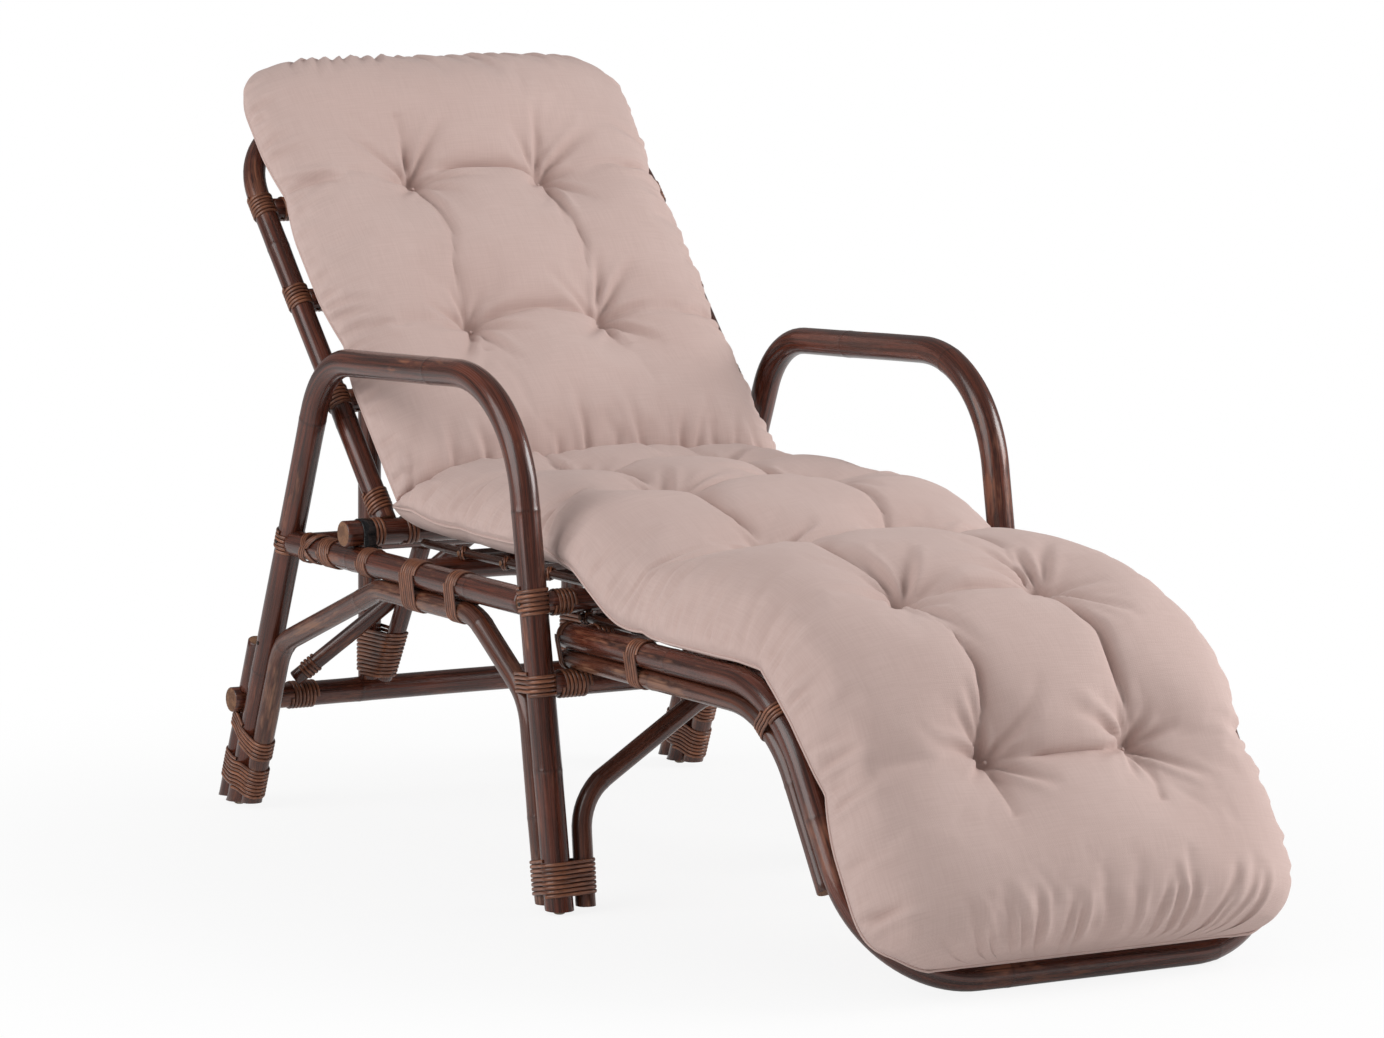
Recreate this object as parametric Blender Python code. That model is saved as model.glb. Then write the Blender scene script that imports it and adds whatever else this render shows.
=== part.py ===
"""Rattan sun lounger with a hinged back, a slide-out footrest and a tufted pad.

Metres, +Z up. +X is the sitter's left, -Y is the foot end, Z is 0 on the floor.
Side-view points are written as (y, z) and counted from the middle of the arms; at the
end the root empty puts the middle of the whole lounger on the origin.
"""

from math import ceil, cos, pi, radians, sin, sqrt, tan

import bmesh
import bpy
from mathutils import Vector

# Driving dimensions: clearances and sides of the round pieces
GAP = 0.0003
POLE_SIDES = 12
SLAT_SIDES = 6
BEND_STEP = radians(16)

# Arm poles: one bent pole a side is both legs and the arm rest
SIDE_X = 0.310
ARM_R = 0.016
ARM_REAR_FOOT_Y = 0.461
ARM_REAR_CORNER = (0.2345, 0.5575)
ARM_FRONT_CORNER = (-0.222, 0.578)
ARM_FRONT_FOOT_Y = -0.327
ARM_REAR_BEND = 0.10
ARM_FRONT_BEND = 0.15

# Feet and glides
GLIDE_R = 0.0075
GLIDE_TOE_R = 0.0055
GLIDE_HEIGHT = 0.0040
SHORT_FOOT_LIFT = 0.0065

# Seat rails and crossbars
RAIL_R = 0.0155
RAIL_Z = 0.3345
CROSSBAR_R = 0.013
REAR_CROSSBAR_Y = 0.300
MID_CROSSBAR_Y = 0.030

# Side arches under the rails
ARCH_R = 0.0125
ARCH_REAR_KNEE_Z = 0.2106
ARCH_REAR_SHOULDER_Y = 0.093
ARCH_FRONT_SHOULDER_Y = -0.135
ARCH_FRONT_KNEE_Z = 0.2273
ARCH_KNEE_BEND = 0.065
ARCH_SHOULDER_BEND = 0.070

# Rear stretcher with the poles above and below it
STRETCHER_R = 0.015
REAR_STRETCHER_Z = 0.131
REAR_STRETCHER_OVERHANG = 0.020
LEG_POLE_R = 0.012
STUB_LENGTH = 0.066

# Front stretcher and the arch under it
FRONT_STRETCHER_R = 0.014
FRONT_ARCH_R = 0.0113
FRONT_ARCH_FOOT_X = 0.277
FRONT_ARCH_KNEE = (0.271, 0.123)
FRONT_ARCH_SHOULDER_X = 0.100
FRONT_ARCH_BEND = 0.070

# Posts that carry the back, with their braces
POST_X = 0.142
POST_R = 0.014
REST_BAR_R = 0.013
REST_BAR_OVERHANG = 0.035
KNEE_R = 0.011
KNEE_LEAN = radians(29.5)
KNEE_FOOT_RISE = 0.004
BRACE_R = 0.0095
BRACE_FOOT_X = 0.250
BRACE_HEAD_X = 0.055
BRACE_FOOT_ANGLE = radians(120)

# Back frame, hinged on its cross pole
HINGE_Y = 0.148
HINGE_R = 0.015
HINGE_OVERHANG = 0.020
RECLINE = radians(47.5)
BACK_X = 0.270
BACK_R = 0.0135
BACK_LENGTH = 0.615
BACK_BEND = 0.120
BACK_CROSSBAR_R = 0.013
BACK_CROSSBARS = {"lower": 0.190, "middle": 0.340, "upper": 0.478}

# Hinge straps: saddles over the hinge pole
STRAP_X = 0.303
STRAP_WIDTH = 0.016
STRAP_THICK = 0.0015
STRAP_FOOT = 0.013

# Footrest frame, which slides on the front stretcher
FOOT_X = 0.265
FOOT_R = 0.0145
FOOT_LOWER_R = 0.0105
FOOT_REAR_Y = -0.262
FOOT_TOP_Z = 0.2965
FOOT_KNEE_Y = -0.706
FOOT_END_Y = -0.884
FOOT_KNEE_BEND = 0.170
FOOT_CORNER_BEND = 0.130
FOOT_LOWER_END_Z = 0.100
FOOT_CROSSBAR_R = 0.012
FOOT_CROSSBARS = {"rear": -0.285, "knee": -0.570}

# Slats of the seat, the back and the footrest
SLAT_R = 0.005
SLAT_COUNT = 7
SLAT_SPREAD = 0.480
BATTEN_R = 0.004
SEAT_SLAT_REAR_Y = 0.118
BACK_SLAT_START = 0.050
FOOT_SLAT_END_Z = 0.095

# Pad: three cushions of one tufted pad
PAD_HALF_WIDTH = 0.2575
PAD_SHIFT_X = -0.015
BACK_PAD_THICK = 0.080
SEAT_PAD_THICK = 0.098
PAD_SEAM_SHARE = 0.28
PAD_CORNER = 0.085
PAD_END_TAPER = 0.055
PAD_DRAW_IN = 0.007
TUFT_X = 0.086
TUFT_DEPTH = 0.026
TUFT_SPREAD = 0.034
BACK_PAD_START = 0.020
BACK_PAD_END = 0.658
BACK_TUFTS = (0.235, 0.455)
SEAT_TUFTS = (0.145, 0.330)
LEG_TUFTS = (0.150, 0.392, 0.567)
LEG_PAD_LENGTH = 0.775
LEG_PAD_DROP = 0.120
LEG_PAD_DROP_BEND = 0.200

# Cane lashings: a flat strip wound round the poles
CANE_WIDTH = 0.0042
CANE_THICK = 0.0016
CANE_PITCH = 0.0050
CANE_SIDES = 10

FINISHES = {
    "rattan": ((0.060, 0.022, 0.014), 0.28, 0.0),
    "cane": ((0.190, 0.085, 0.045), 0.45, 0.0),
    "canvas": ((0.610, 0.460, 0.410), 0.95, 0.0),
    "strap": ((0.012, 0.012, 0.013), 0.25, 0.0),
    "glide": ((0.520, 0.420, 0.330), 0.50, 0.0),
}
SIDES = {"right": -1, "left": 1}


# Scene, finishes and objects


def clear_scene():
    for old in list(bpy.data.objects):
        bpy.data.objects.remove(old)


def finish(kind):
    """The named finish as a material, made on its first use."""
    if kind in bpy.data.materials:
        return bpy.data.materials[kind]
    colour, roughness, metallic = FINISHES[kind]
    material = bpy.data.materials.new(kind)
    material.use_nodes = True
    shader = material.node_tree.nodes["Principled BSDF"]
    shader.inputs["Base Color"].default_value = (*colour, 1)
    shader.inputs["Roughness"].default_value = roughness
    shader.inputs["Metallic"].default_value = metallic
    return material


def add_empty(name, location, parent=None):
    empty = bpy.data.objects.new(name, None)
    empty.location = location
    empty.parent = parent
    bpy.context.scene.collection.objects.link(empty)
    return empty


def add_object(name, points, faces, kind, parent):
    """A closed mesh as a named object; faces are made to point outwards."""
    mesh = bpy.data.meshes.new(name)
    mesh.from_pydata([tuple(p) for p in points], [], faces)
    shaped = bmesh.new()
    shaped.from_mesh(mesh)
    bmesh.ops.recalc_face_normals(shaped, faces=shaped.faces)
    shaped.to_mesh(mesh)
    shaped.free()
    mesh.shade_smooth()
    mesh.set_sharp_from_angle(angle=radians(40))
    mesh.materials.append(finish(kind))
    made = bpy.data.objects.new(name, mesh)
    made.parent = parent
    bpy.context.scene.collection.objects.link(made)
    return made


def add_boolean(target, other, operation):
    """Joins or cuts target with another mesh, which becomes a hidden helper."""
    other.hide_render = True
    other.display_type = "WIRE"
    modifier = target.modifiers.new(f"{operation.lower()}_{other.name}", "BOOLEAN")
    modifier.operation = operation
    modifier.solver = "EXACT"
    modifier.object = other


# Paths


def side_point(x, point):
    """A side-view point (y, z) at the given x."""
    return Vector((x, point[0], point[1]))


def rounded(points, bends):
    """The polyline with each inner corner turned into an arc of its bend radius."""
    route = [Vector(points[0])]
    for corner, bend, before, after in zip(points[1:-1], bends, points, points[2:]):
        corner = Vector(corner)
        inward = (Vector(before) - corner).normalized()
        onward = (Vector(after) - corner).normalized()
        half = inward.angle(onward) / 2
        centre = corner + (inward + onward).normalized() * (bend / sin(half))
        start = corner + inward * (bend / tan(half)) - centre
        end = corner + onward * (bend / tan(half)) - centre
        turn = pi - 2 * half
        steps = max(2, ceil(turn / BEND_STEP))
        for step in range(steps + 1):
            share = step / steps
            arm = start * sin((1 - share) * turn) + end * sin(share * turn)
            route.append(centre + arm / sin(turn))
    route.append(Vector(points[-1]))
    return route


def line_point(start, end, z):
    """Where the side-view line through two (y, z) points reaches the height z."""
    share = (z - start[1]) / (end[1] - start[1])
    return (start[0] + share * (end[0] - start[0]), z)


def crossing(point_a, way_a, point_b, way_b):
    """Where two side-view lines cross, each given by a point and a direction."""
    det = way_a[0] * way_b[1] - way_a[1] * way_b[0]
    gap_y = point_b[0] - point_a[0]
    gap_z = point_b[1] - point_a[1]
    share = (gap_y * way_b[1] - gap_z * way_b[0]) / det
    return (point_a[0] + share * way_a[0], point_a[1] + share * way_a[1])


def shifted(line, distance):
    """The side-view line moved sideways, to the right of its way for a positive distance."""
    (y0, z0), (y1, z1) = line
    length = sqrt((y1 - y0) ** 2 + (z1 - z0) ** 2)
    normal = ((z1 - z0) / length, -(y1 - y0) / length)
    return (
        (y0 + normal[0] * distance, z0 + normal[1] * distance),
        (y1 + normal[0] * distance, z1 + normal[1] * distance),
    )


def way(line):
    return (line[1][0] - line[0][0], line[1][1] - line[0][1])


def offset_route(points, distance):
    """A side-view polyline moved sideways as a whole, with its corners kept."""
    lines = [shifted(pair, distance) for pair in zip(points, points[1:])]
    inner = [crossing(a[0], way(a), b[0], way(b)) for a, b in zip(lines, lines[1:])]
    return [lines[0][0], *inner, lines[-1][1]]


def cut_route(route, axis, limit):
    """The route up to where its coordinate along axis falls to limit."""
    kept = []
    for point in route:
        if kept and point[axis] < limit:
            before = kept[-1]
            share = (limit - before[axis]) / (point[axis] - before[axis])
            kept.append(before + (point - before) * share)
            break
        kept.append(point)
    return kept


# Round poles


def tube_mesh(route, radius, across, sides=POLE_SIDES):
    """Points and faces of a round pole along a route that lies square to across.

    One of its edges runs along the side that is square to both, such as the top.
    """
    points = []
    for index, centre in enumerate(route):
        before = route[max(index - 1, 0)]
        after = route[min(index + 1, len(route) - 1)]
        tangent = (after - before).normalized()
        first = (across - tangent * across.dot(tangent)).normalized()
        second = tangent.cross(first)
        for side in range(sides):
            angle = pi / 2 + 2 * pi * side / sides
            points.append(centre + (first * cos(angle) + second * sin(angle)) * radius)
    faces = []
    for ring in range(len(route) - 1):
        for side in range(sides):
            a = ring * sides + side
            b = ring * sides + (side + 1) % sides
            faces.append((a, b, b + sides, a + sides))
    faces.append(tuple(range(sides)))
    faces.append(tuple(range(len(points) - sides, len(points))))
    return points, faces


def pole(name, route, radius, parent, across=(1, 0, 0), feet=()):
    """A round pole; feet lists its ends, 0 or -1, that are sawn flat to the floor."""
    route = [Vector(p) for p in route]
    points, faces = tube_mesh(route, radius, Vector(across))
    for end in feet:
        onward = (route[1] - route[0]) if end == 0 else (route[-1] - route[-2])
        first = 0 if end == 0 else len(points) - POLE_SIDES
        for index in range(first, first + POLE_SIDES):
            rise = route[end].z - points[index].z
            points[index] = points[index] + onward * (rise / onward.z)
    return add_object(name, points, faces, "rattan", parent)


def cross_pole(name, half_length, y, z, radius, parent):
    """A straight pole that runs from side to side."""
    route = ((-half_length, y, z), (half_length, y, z))
    return pole(name, route, radius, parent, across=(0, 0, 1))


def cope_to_route(target, name, route, radius, across):
    """Hollows the pole's ends to seat on a bent pole of this radius, GAP clear of it."""
    sides = 2 * POLE_SIDES
    reach = (radius + GAP) / cos(pi / sides)
    points, faces = tube_mesh(route, reach, Vector(across), sides)
    cutter = add_object(name, points, faces, "rattan", target.parent)
    add_boolean(target, cutter, "DIFFERENCE")


def cope(target, name, start, end, radius):
    """Hollows the pole's end to seat on a straight pole of this radius, GAP clear of it."""
    route = [Vector(start), Vector(end)]
    cope_to_route(target, name, route, radius, (route[1] - route[0]).orthogonal())


# Lashings


def hull_order(points):
    """Indices of the 2-D points on their convex hull, in order round it."""
    order = sorted(range(len(points)), key=lambda i: points[i])

    def half(indices):
        chain = []
        for index in indices:
            while len(chain) > 1:
                (ax, ay), (bx, by) = points[chain[-2]], points[chain[-1]]
                cx, cy = points[index]
                if (bx - ax) * (cy - ay) - (by - ay) * (cx - ax) > 1e-12:
                    break
                chain.pop()
            chain.append(index)
        return chain[:-1]

    return half(order) + half(order[::-1])


def lashing(name, poles, axis, start, turns, parent):
    """One unbroken cane strip wound round a bundle of poles.

    poles are (point, direction, radius); axis is (point, direction) of the winding, and
    start is the level along it where the first turn begins.
    """
    origin, along = Vector(axis[0]), Vector(axis[1]).normalized()
    first = Vector((1, 0, 0))
    first = (first - along * first.dot(along)).normalized()
    second = along.cross(first)
    corner = 1 / cos(pi / CANE_SIDES)

    def centre_at(level, bundled):
        point, direction = Vector(bundled[0]), Vector(bundled[1])
        share = (level - (point - origin).dot(along)) / direction.dot(along)
        return point + direction * share

    def spot(level, key, extra):
        index, side = key
        bundled = poles[index]
        lean = abs(Vector(bundled[1]).normalized().dot(along))
        reach = (bundled[2] / lean + GAP + extra) * corner
        angle = 2 * pi * (side + 0.5) / CANE_SIDES
        arm = first * cos(angle) + second * sin(angle)
        return centre_at(level, bundled) + arm * reach

    keys = [(i, side) for i in range(len(poles)) for side in range(CANE_SIDES)]
    middle = start + turns * CANE_PITCH / 2
    flat = [spot(middle, key, 0) - origin for key in keys]
    ring = [keys[i] for i in hull_order([(p.dot(first), p.dot(second)) for p in flat])]
    around = [spot(middle, key, 0) for key in ring]
    steps = [(b - a).length for a, b in zip(around, around[1:] + around[:1])]
    shares = [sum(steps[:i]) / sum(steps) for i in range(len(ring))]
    half = CANE_WIDTH / 2
    points = []
    for step in range(turns * len(ring) + 1):
        turn, index = divmod(step, len(ring))
        level = start + half + (turn + shares[index]) * CANE_PITCH
        points.append(spot(level - half, ring[index], 0))
        points.append(spot(level + half, ring[index], 0))
        points.append(spot(level + half, ring[index], CANE_THICK))
        points.append(spot(level - half, ring[index], CANE_THICK))
    faces = [(0, 1, 2, 3), tuple(range(len(points) - 4, len(points)))]
    for base in range(0, len(points) - 4, 4):
        for side in range(4):
            a, b = base + side, base + (side + 1) % 4
            faces.append((a, b, b + 4, a + 4))
    lap = 4 * len(ring)
    gaps = [
        (points[i + lap] - points[i + 1]).length
        for i in range(0, len(points) - lap, 4)
    ]
    print(f"{name}: {turns} turns, least gap to itself {1000 * min(gaps):.2f} mm")
    return add_object(name, points, faces, "cane", parent)


# Slats


def slat_mat(name, route, across_route, parent):
    """Slats along a side-view route, joined by battens at the given places on it."""
    pitch = SLAT_SPREAD / (SLAT_COUNT - 1)
    points, faces = [], []
    for index in range(SLAT_COUNT):
        x = -SLAT_SPREAD / 2 + index * pitch
        line = [side_point(x, p) for p in route]
        more, rings = tube_mesh(line, SLAT_R, Vector((1, 0, 0)), SLAT_SIDES)
        faces += [tuple(i + len(points) for i in face) for face in rings]
        points += more
    mat = add_object(name, points, faces, "rattan", parent)
    points, faces = [], []
    reach = SLAT_SPREAD / 2 + SLAT_R + BATTEN_R
    for place in across_route:
        line = [side_point(-reach, place), side_point(reach, place)]
        more, rings = tube_mesh(line, BATTEN_R, Vector((0, 0, 1)), SLAT_SIDES)
        faces += [tuple(i + len(points) for i in face) for face in rings]
        points += more
    battens = add_object(f"{name}_battens", points, faces, "rattan", parent)
    add_boolean(mat, battens, "UNION")
    return mat


# Cushions


def guide_at(route, distance):
    """Point, tangent and upward normal at a distance along a side-view route."""
    left = distance
    for index, (a, b) in enumerate(zip(route, route[1:])):
        length = (b - a).length
        if left <= length or index == len(route) - 2:
            tangent = (b - a) / length
            point = a + tangent * left
            return point, tangent
        left -= length
    return None


def drawn_in(distance, length, closed, reach):
    """Shape of an end that is sewn shut: 0 at the seam, 1 beyond the reach of its curve."""
    factor = 1.0
    for from_end, is_closed in ((distance, closed[0]), (length - distance, closed[1])):
        if is_closed and from_end < reach:
            share = 1 - max(from_end, 0) / reach
            factor *= sqrt(max(1 - share**2.4, 0))
    return factor


def cushion(name, route, length, tufts, closed, thick_at, flip, parent):
    """A padded cushion along a side-view route, crowned, drawn in and tufted.

    flip is +1 where the pad lies to the left of the route's way, -1 to the right.
    closed tells, for the start and the end, whether the pad is sewn shut there.
    """
    tuft_share = TUFT_X / PAD_HALF_WIDTH
    top = (1, 0.93, 0.76, 0.54, tuft_share, 0.16, 0)
    under = (-0.93, -0.6, 0, 0.6, 0.93)
    across = [*top, *(-v for v in top[-2::-1])]
    bends = [0.0]
    for a, b in zip(route, route[1:]):
        bends.append(bends[-1] + (b - a).length)
    bends = [0.0, *(b for b in bends[1:-1] if 0.004 < b < length - 0.004), length]
    stations = set()
    for place in tufts:
        stations |= {place, place - 0.030, place + 0.030, place - 0.068, place + 0.068}
    for end, is_closed in ((0.0, closed[0]), (length, closed[1])):
        if is_closed:
            rounds = (0.005, 0.016, 0.033, 0.8 * PAD_CORNER)
            stations |= {abs(end - d) for d in rounds}
    free = [s for s in stations if 0 < s < length and min(abs(s - b) for b in bends) > 0.004]
    kept = sorted([*bends, *free])
    points = []
    for place in kept:
        centre, tangent = guide_at(route, place)
        normal = Vector((0, -tangent.z, tangent.y)) * flip
        ends = max(drawn_in(place, length, closed, PAD_END_TAPER), 0.14)
        corner = 1 - drawn_in(place, length, closed, PAD_CORNER)
        nearness = max((1 - abs(place - t) / 0.07 for t in tufts), default=0)
        half_width = PAD_HALF_WIDTH - PAD_DRAW_IN * max(nearness, 0)
        half_width -= PAD_CORNER * corner
        thick = thick_at(place)
        seam = PAD_SEAM_SHARE * thick
        for share in across:
            bulge = sqrt(max(1 - abs(share) ** 3.2, 0)) * ends
            dimple = 0.0
            for t in tufts:
                off = (abs(share * half_width) - TUFT_X) ** 2 + (place - t) ** 2
                dimple += TUFT_DEPTH * 2.718 ** (-off / (2 * TUFT_SPREAD**2))
            height = seam + (thick - seam) * bulge - dimple * bulge
            x = PAD_SHIFT_X + share * half_width
            points.append(centre + normal * height + Vector((x, 0, 0)))
        for share in under:
            sink = sqrt(max(1 - abs(share) ** 6, 0)) * (0.25 + 0.75 * ends)
            x = PAD_SHIFT_X + share * half_width
            points.append(centre + normal * seam * (1 - sink) + Vector((x, 0, 0)))
    ring = len(across) + len(under)
    faces = [tuple(range(ring)), tuple(range(len(points) - ring, len(points)))]
    for station in range(len(kept) - 1):
        for side in range(ring):
            a = station * ring + side
            b = station * ring + (side + 1) % ring
            faces.append((a, b, b + ring, a + ring))
    return add_object(name, points, faces, "canvas", parent)


# Sizes worked out from the driving dimensions

FOOT_Z = GLIDE_HEIGHT + GAP
REAR_LEG = (line_point((ARM_REAR_FOOT_Y, 0), ARM_REAR_CORNER, FOOT_Z), ARM_REAR_CORNER)
FRONT_LEG = (line_point((ARM_FRONT_FOOT_Y, 0), ARM_FRONT_CORNER, FOOT_Z), ARM_FRONT_CORNER)
CROSSBAR_HALF = SIDE_X
REAR_LEAN = Vector((0, *way(REAR_LEG))).normalized()
FRONT_LEAN = Vector((0, *way(FRONT_LEG))).normalized()
HINGE_Z = RAIL_Z + RAIL_R + GAP + HINGE_R
FRONT_CROSSBAR_Y = line_point(*FRONT_LEG, RAIL_Z)[0]
STRETCHER_SHIFT = ARM_R + STRETCHER_R + GAP
REAR_STRETCHER_Y = line_point(*shifted(REAR_LEG, STRETCHER_SHIFT), REAR_STRETCHER_Z)[0]
FOOT_LOWER_DROP = FOOT_R + FOOT_LOWER_R + GAP
FRONT_STRETCHER_Z = FOOT_TOP_Z - FOOT_LOWER_DROP - FOOT_LOWER_R - GAP - FRONT_STRETCHER_R
FRONT_STRETCHER_Y = line_point(*FRONT_LEG, FRONT_STRETCHER_Z)[0]
SEAT_SLAT_Z = RAIL_Z + CROSSBAR_R + GAP + SLAT_R
SEAT_PAD_Z = SEAT_SLAT_Z + SLAT_R + GAP
BACK_SLAT_RISE = BACK_R + GAP + SLAT_R
FOOT_SLAT_RISE = FOOT_CROSSBAR_R + GAP + SLAT_R
REST_BAR_RISE = BACK_SLAT_RISE - SLAT_R - GAP - REST_BAR_R
POST_FOOT_Z = REAR_STRETCHER_Z + STRETCHER_R + GAP
FOOT_ROUTE = (
    (FOOT_REAR_Y, FOOT_TOP_Z),
    (FOOT_KNEE_Y, FOOT_TOP_Z),
    (FOOT_END_Y, FOOT_R),
)


def back_place(along, rise):
    """Side-view point of the back: distance up it from the hinge, and rise off its plane."""
    y = HINGE_Y + along * cos(RECLINE) - rise * sin(RECLINE)
    return (y, HINGE_Z + along * sin(RECLINE) + rise * cos(RECLINE))


REST_BAR_ALONG = (
    REAR_STRETCHER_Y - HINGE_Y + REST_BAR_RISE * sin(RECLINE)
) / cos(RECLINE)
REST_BAR_Z = back_place(REST_BAR_ALONG, REST_BAR_RISE)[1]


# Base


def arch_route():
    """Side arch: up inside the rear leg, under the rail, down inside the front leg."""
    inset = ARM_R + ARCH_R + GAP
    rear = shifted(REAR_LEG, -inset)
    front = shifted(FRONT_LEG, inset)
    top_z = RAIL_Z - RAIL_R - ARCH_R - GAP
    return (
        line_point(*rear, SHORT_FOOT_LIFT),
        line_point(*rear, ARCH_REAR_KNEE_Z),
        (ARCH_REAR_SHOULDER_Y, top_z),
        (ARCH_FRONT_SHOULDER_Y, top_z),
        line_point(*front, ARCH_FRONT_KNEE_Z),
        line_point(*front, SHORT_FOOT_LIFT),
    )


def build_side(side, sign, root):
    """Arm pole, rail, arch, rear leg pole, stub and glides of one side."""
    x = sign * SIDE_X
    arm = (REAR_LEG[0], ARM_REAR_CORNER, ARM_FRONT_CORNER, FRONT_LEG[0])
    bends = (ARM_REAR_BEND, ARM_FRONT_BEND)
    arm = rounded([side_point(x, p) for p in arm], bends)
    pole(f"arm_pole_{side}", arm, ARM_R, root, feet=(0, -1))
    bends = (ARCH_KNEE_BEND, ARCH_SHOULDER_BEND, ARCH_SHOULDER_BEND, ARCH_KNEE_BEND)
    arch = rounded([side_point(x, p) for p in arch_route()], bends)
    pole(f"side_arch_{side}", arch, ARCH_R, root, feet=(0, -1))

    ends = (line_point(*REAR_LEG, RAIL_Z), line_point(*FRONT_LEG, RAIL_Z))
    rail = pole(f"seat_rail_{side}", [side_point(x, p) for p in ends], RAIL_R, root)
    for place, leg in (("rear", REAR_LEG), ("front", FRONT_LEG)):
        low, high = (side_point(x, line_point(*leg, RAIL_Z + d)) for d in (-0.06, 0.06))
        cope(rail, f"rail_{place}_cutter_{side}", low, high, ARM_R)

    behind = shifted(REAR_LEG, ARM_R + LEG_POLE_R + GAP)
    middle = side_point(x, line_point(*behind, REAR_STRETCHER_Z))
    foot = side_point(x, line_point(*behind, SHORT_FOOT_LIFT))
    top = middle + REAR_LEAN * (STRETCHER_R + STUB_LENGTH)
    lower = pole(f"rear_leg_pole_{side}", (foot, middle), LEG_POLE_R, root, feet=(0,))
    upper = pole(f"rear_leg_stub_{side}", (middle, top), LEG_POLE_R, root)
    for place, piece in (("pole", lower), ("stub", upper)):
        ends = [(x + d, REAR_STRETCHER_Y, REAR_STRETCHER_Z) for d in (-0.04, 0.04)]
        cope(piece, f"rear_leg_{place}_cutter_{side}", *ends, STRETCHER_R)

    for place, leg in (("rear", REAR_LEG), ("front", FRONT_LEG)):
        glide(f"glide_{place}_{side}", x, leg[0][0], root)


def glide(name, x, y, root):
    """Nub under a leg: a turned button with a small flat toe."""
    rings = ((0.0, GLIDE_TOE_R), (0.4 * GLIDE_HEIGHT, GLIDE_R), (GLIDE_HEIGHT, GLIDE_R))
    points, faces = [], []
    for z, radius in rings:
        for step in range(POLE_SIDES):
            angle = 2 * pi * step / POLE_SIDES
            points.append((x + radius * cos(angle), y + radius * sin(angle), z))
    for ring in range(len(rings) - 1):
        for step in range(POLE_SIDES):
            a = ring * POLE_SIDES + step
            b = ring * POLE_SIDES + (step + 1) % POLE_SIDES
            faces.append((a, b, b + POLE_SIDES, a + POLE_SIDES))
    faces.append(tuple(range(POLE_SIDES)))
    faces.append(tuple(range(len(points) - POLE_SIDES, len(points))))
    add_object(name, points, faces, "glide", root)


def build_crossbars(root):
    """Crossbars between the rails and the stretchers between the legs, ends coped."""
    bars = (
        ("seat_rear_crossbar", REAR_CROSSBAR_Y, RAIL_Z, CROSSBAR_R, RAIL_R),
        ("seat_mid_crossbar", MID_CROSSBAR_Y, RAIL_Z, CROSSBAR_R, RAIL_R),
        ("seat_front_crossbar", FRONT_CROSSBAR_Y, RAIL_Z, CROSSBAR_R, ARM_R),
        ("front_stretcher", FRONT_STRETCHER_Y, FRONT_STRETCHER_Z, FRONT_STRETCHER_R, ARM_R),
    )
    for name, y, z, radius, seat_r in bars:
        bar = cross_pole(name, CROSSBAR_HALF, y, z, radius, root)
        lean = Vector((0, 1, 0)) if seat_r == RAIL_R else FRONT_LEAN
        for side, sign in SIDES.items():
            middle = Vector((sign * SIDE_X, y, z))
            reach = lean * 3 * radius
            cope(bar, f"{name}_cutter_{side}", middle - reach, middle + reach, seat_r)
            if name == "seat_front_crossbar":
                along = Vector((0, 3 * radius, 0))
                cope(bar, f"{name}_rail_cutter_{side}", middle, middle + along, RAIL_R)
    half = SIDE_X + REAR_STRETCHER_OVERHANG
    cross_pole("rear_stretcher", half, REAR_STRETCHER_Y, REAR_STRETCHER_Z, STRETCHER_R, root)


def front_arch_half():
    """Foot, knee and shoulder of the front arch on the right, in the plane of the legs."""
    top_z = FRONT_STRETCHER_Z - FRONT_STRETCHER_R - FRONT_ARCH_R - GAP
    foot_y = FRONT_LEG[0][0]

    def on_plane(x, z):
        share = (z - SHORT_FOOT_LIFT) / (top_z - SHORT_FOOT_LIFT)
        return Vector((x, foot_y + share * (FRONT_STRETCHER_Y - foot_y), z))

    knee_x, knee_z = FRONT_ARCH_KNEE
    return (
        on_plane(-FRONT_ARCH_FOOT_X, SHORT_FOOT_LIFT),
        on_plane(-knee_x, knee_z),
        on_plane(-FRONT_ARCH_SHOULDER_X, top_z),
    )


def build_front_arch(root):
    """The bent pole between the front legs that props the front stretcher."""
    half = front_arch_half()
    corners = [*half, *(Vector((-p.x, p.y, p.z)) for p in half[::-1])]
    route = rounded(corners, (FRONT_ARCH_BEND,) * 4)
    across = Vector((1, 0, 0)).cross(half[2] - half[0])
    pole("front_arch", route, FRONT_ARCH_R, root, across=across, feet=(0, -1))


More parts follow.
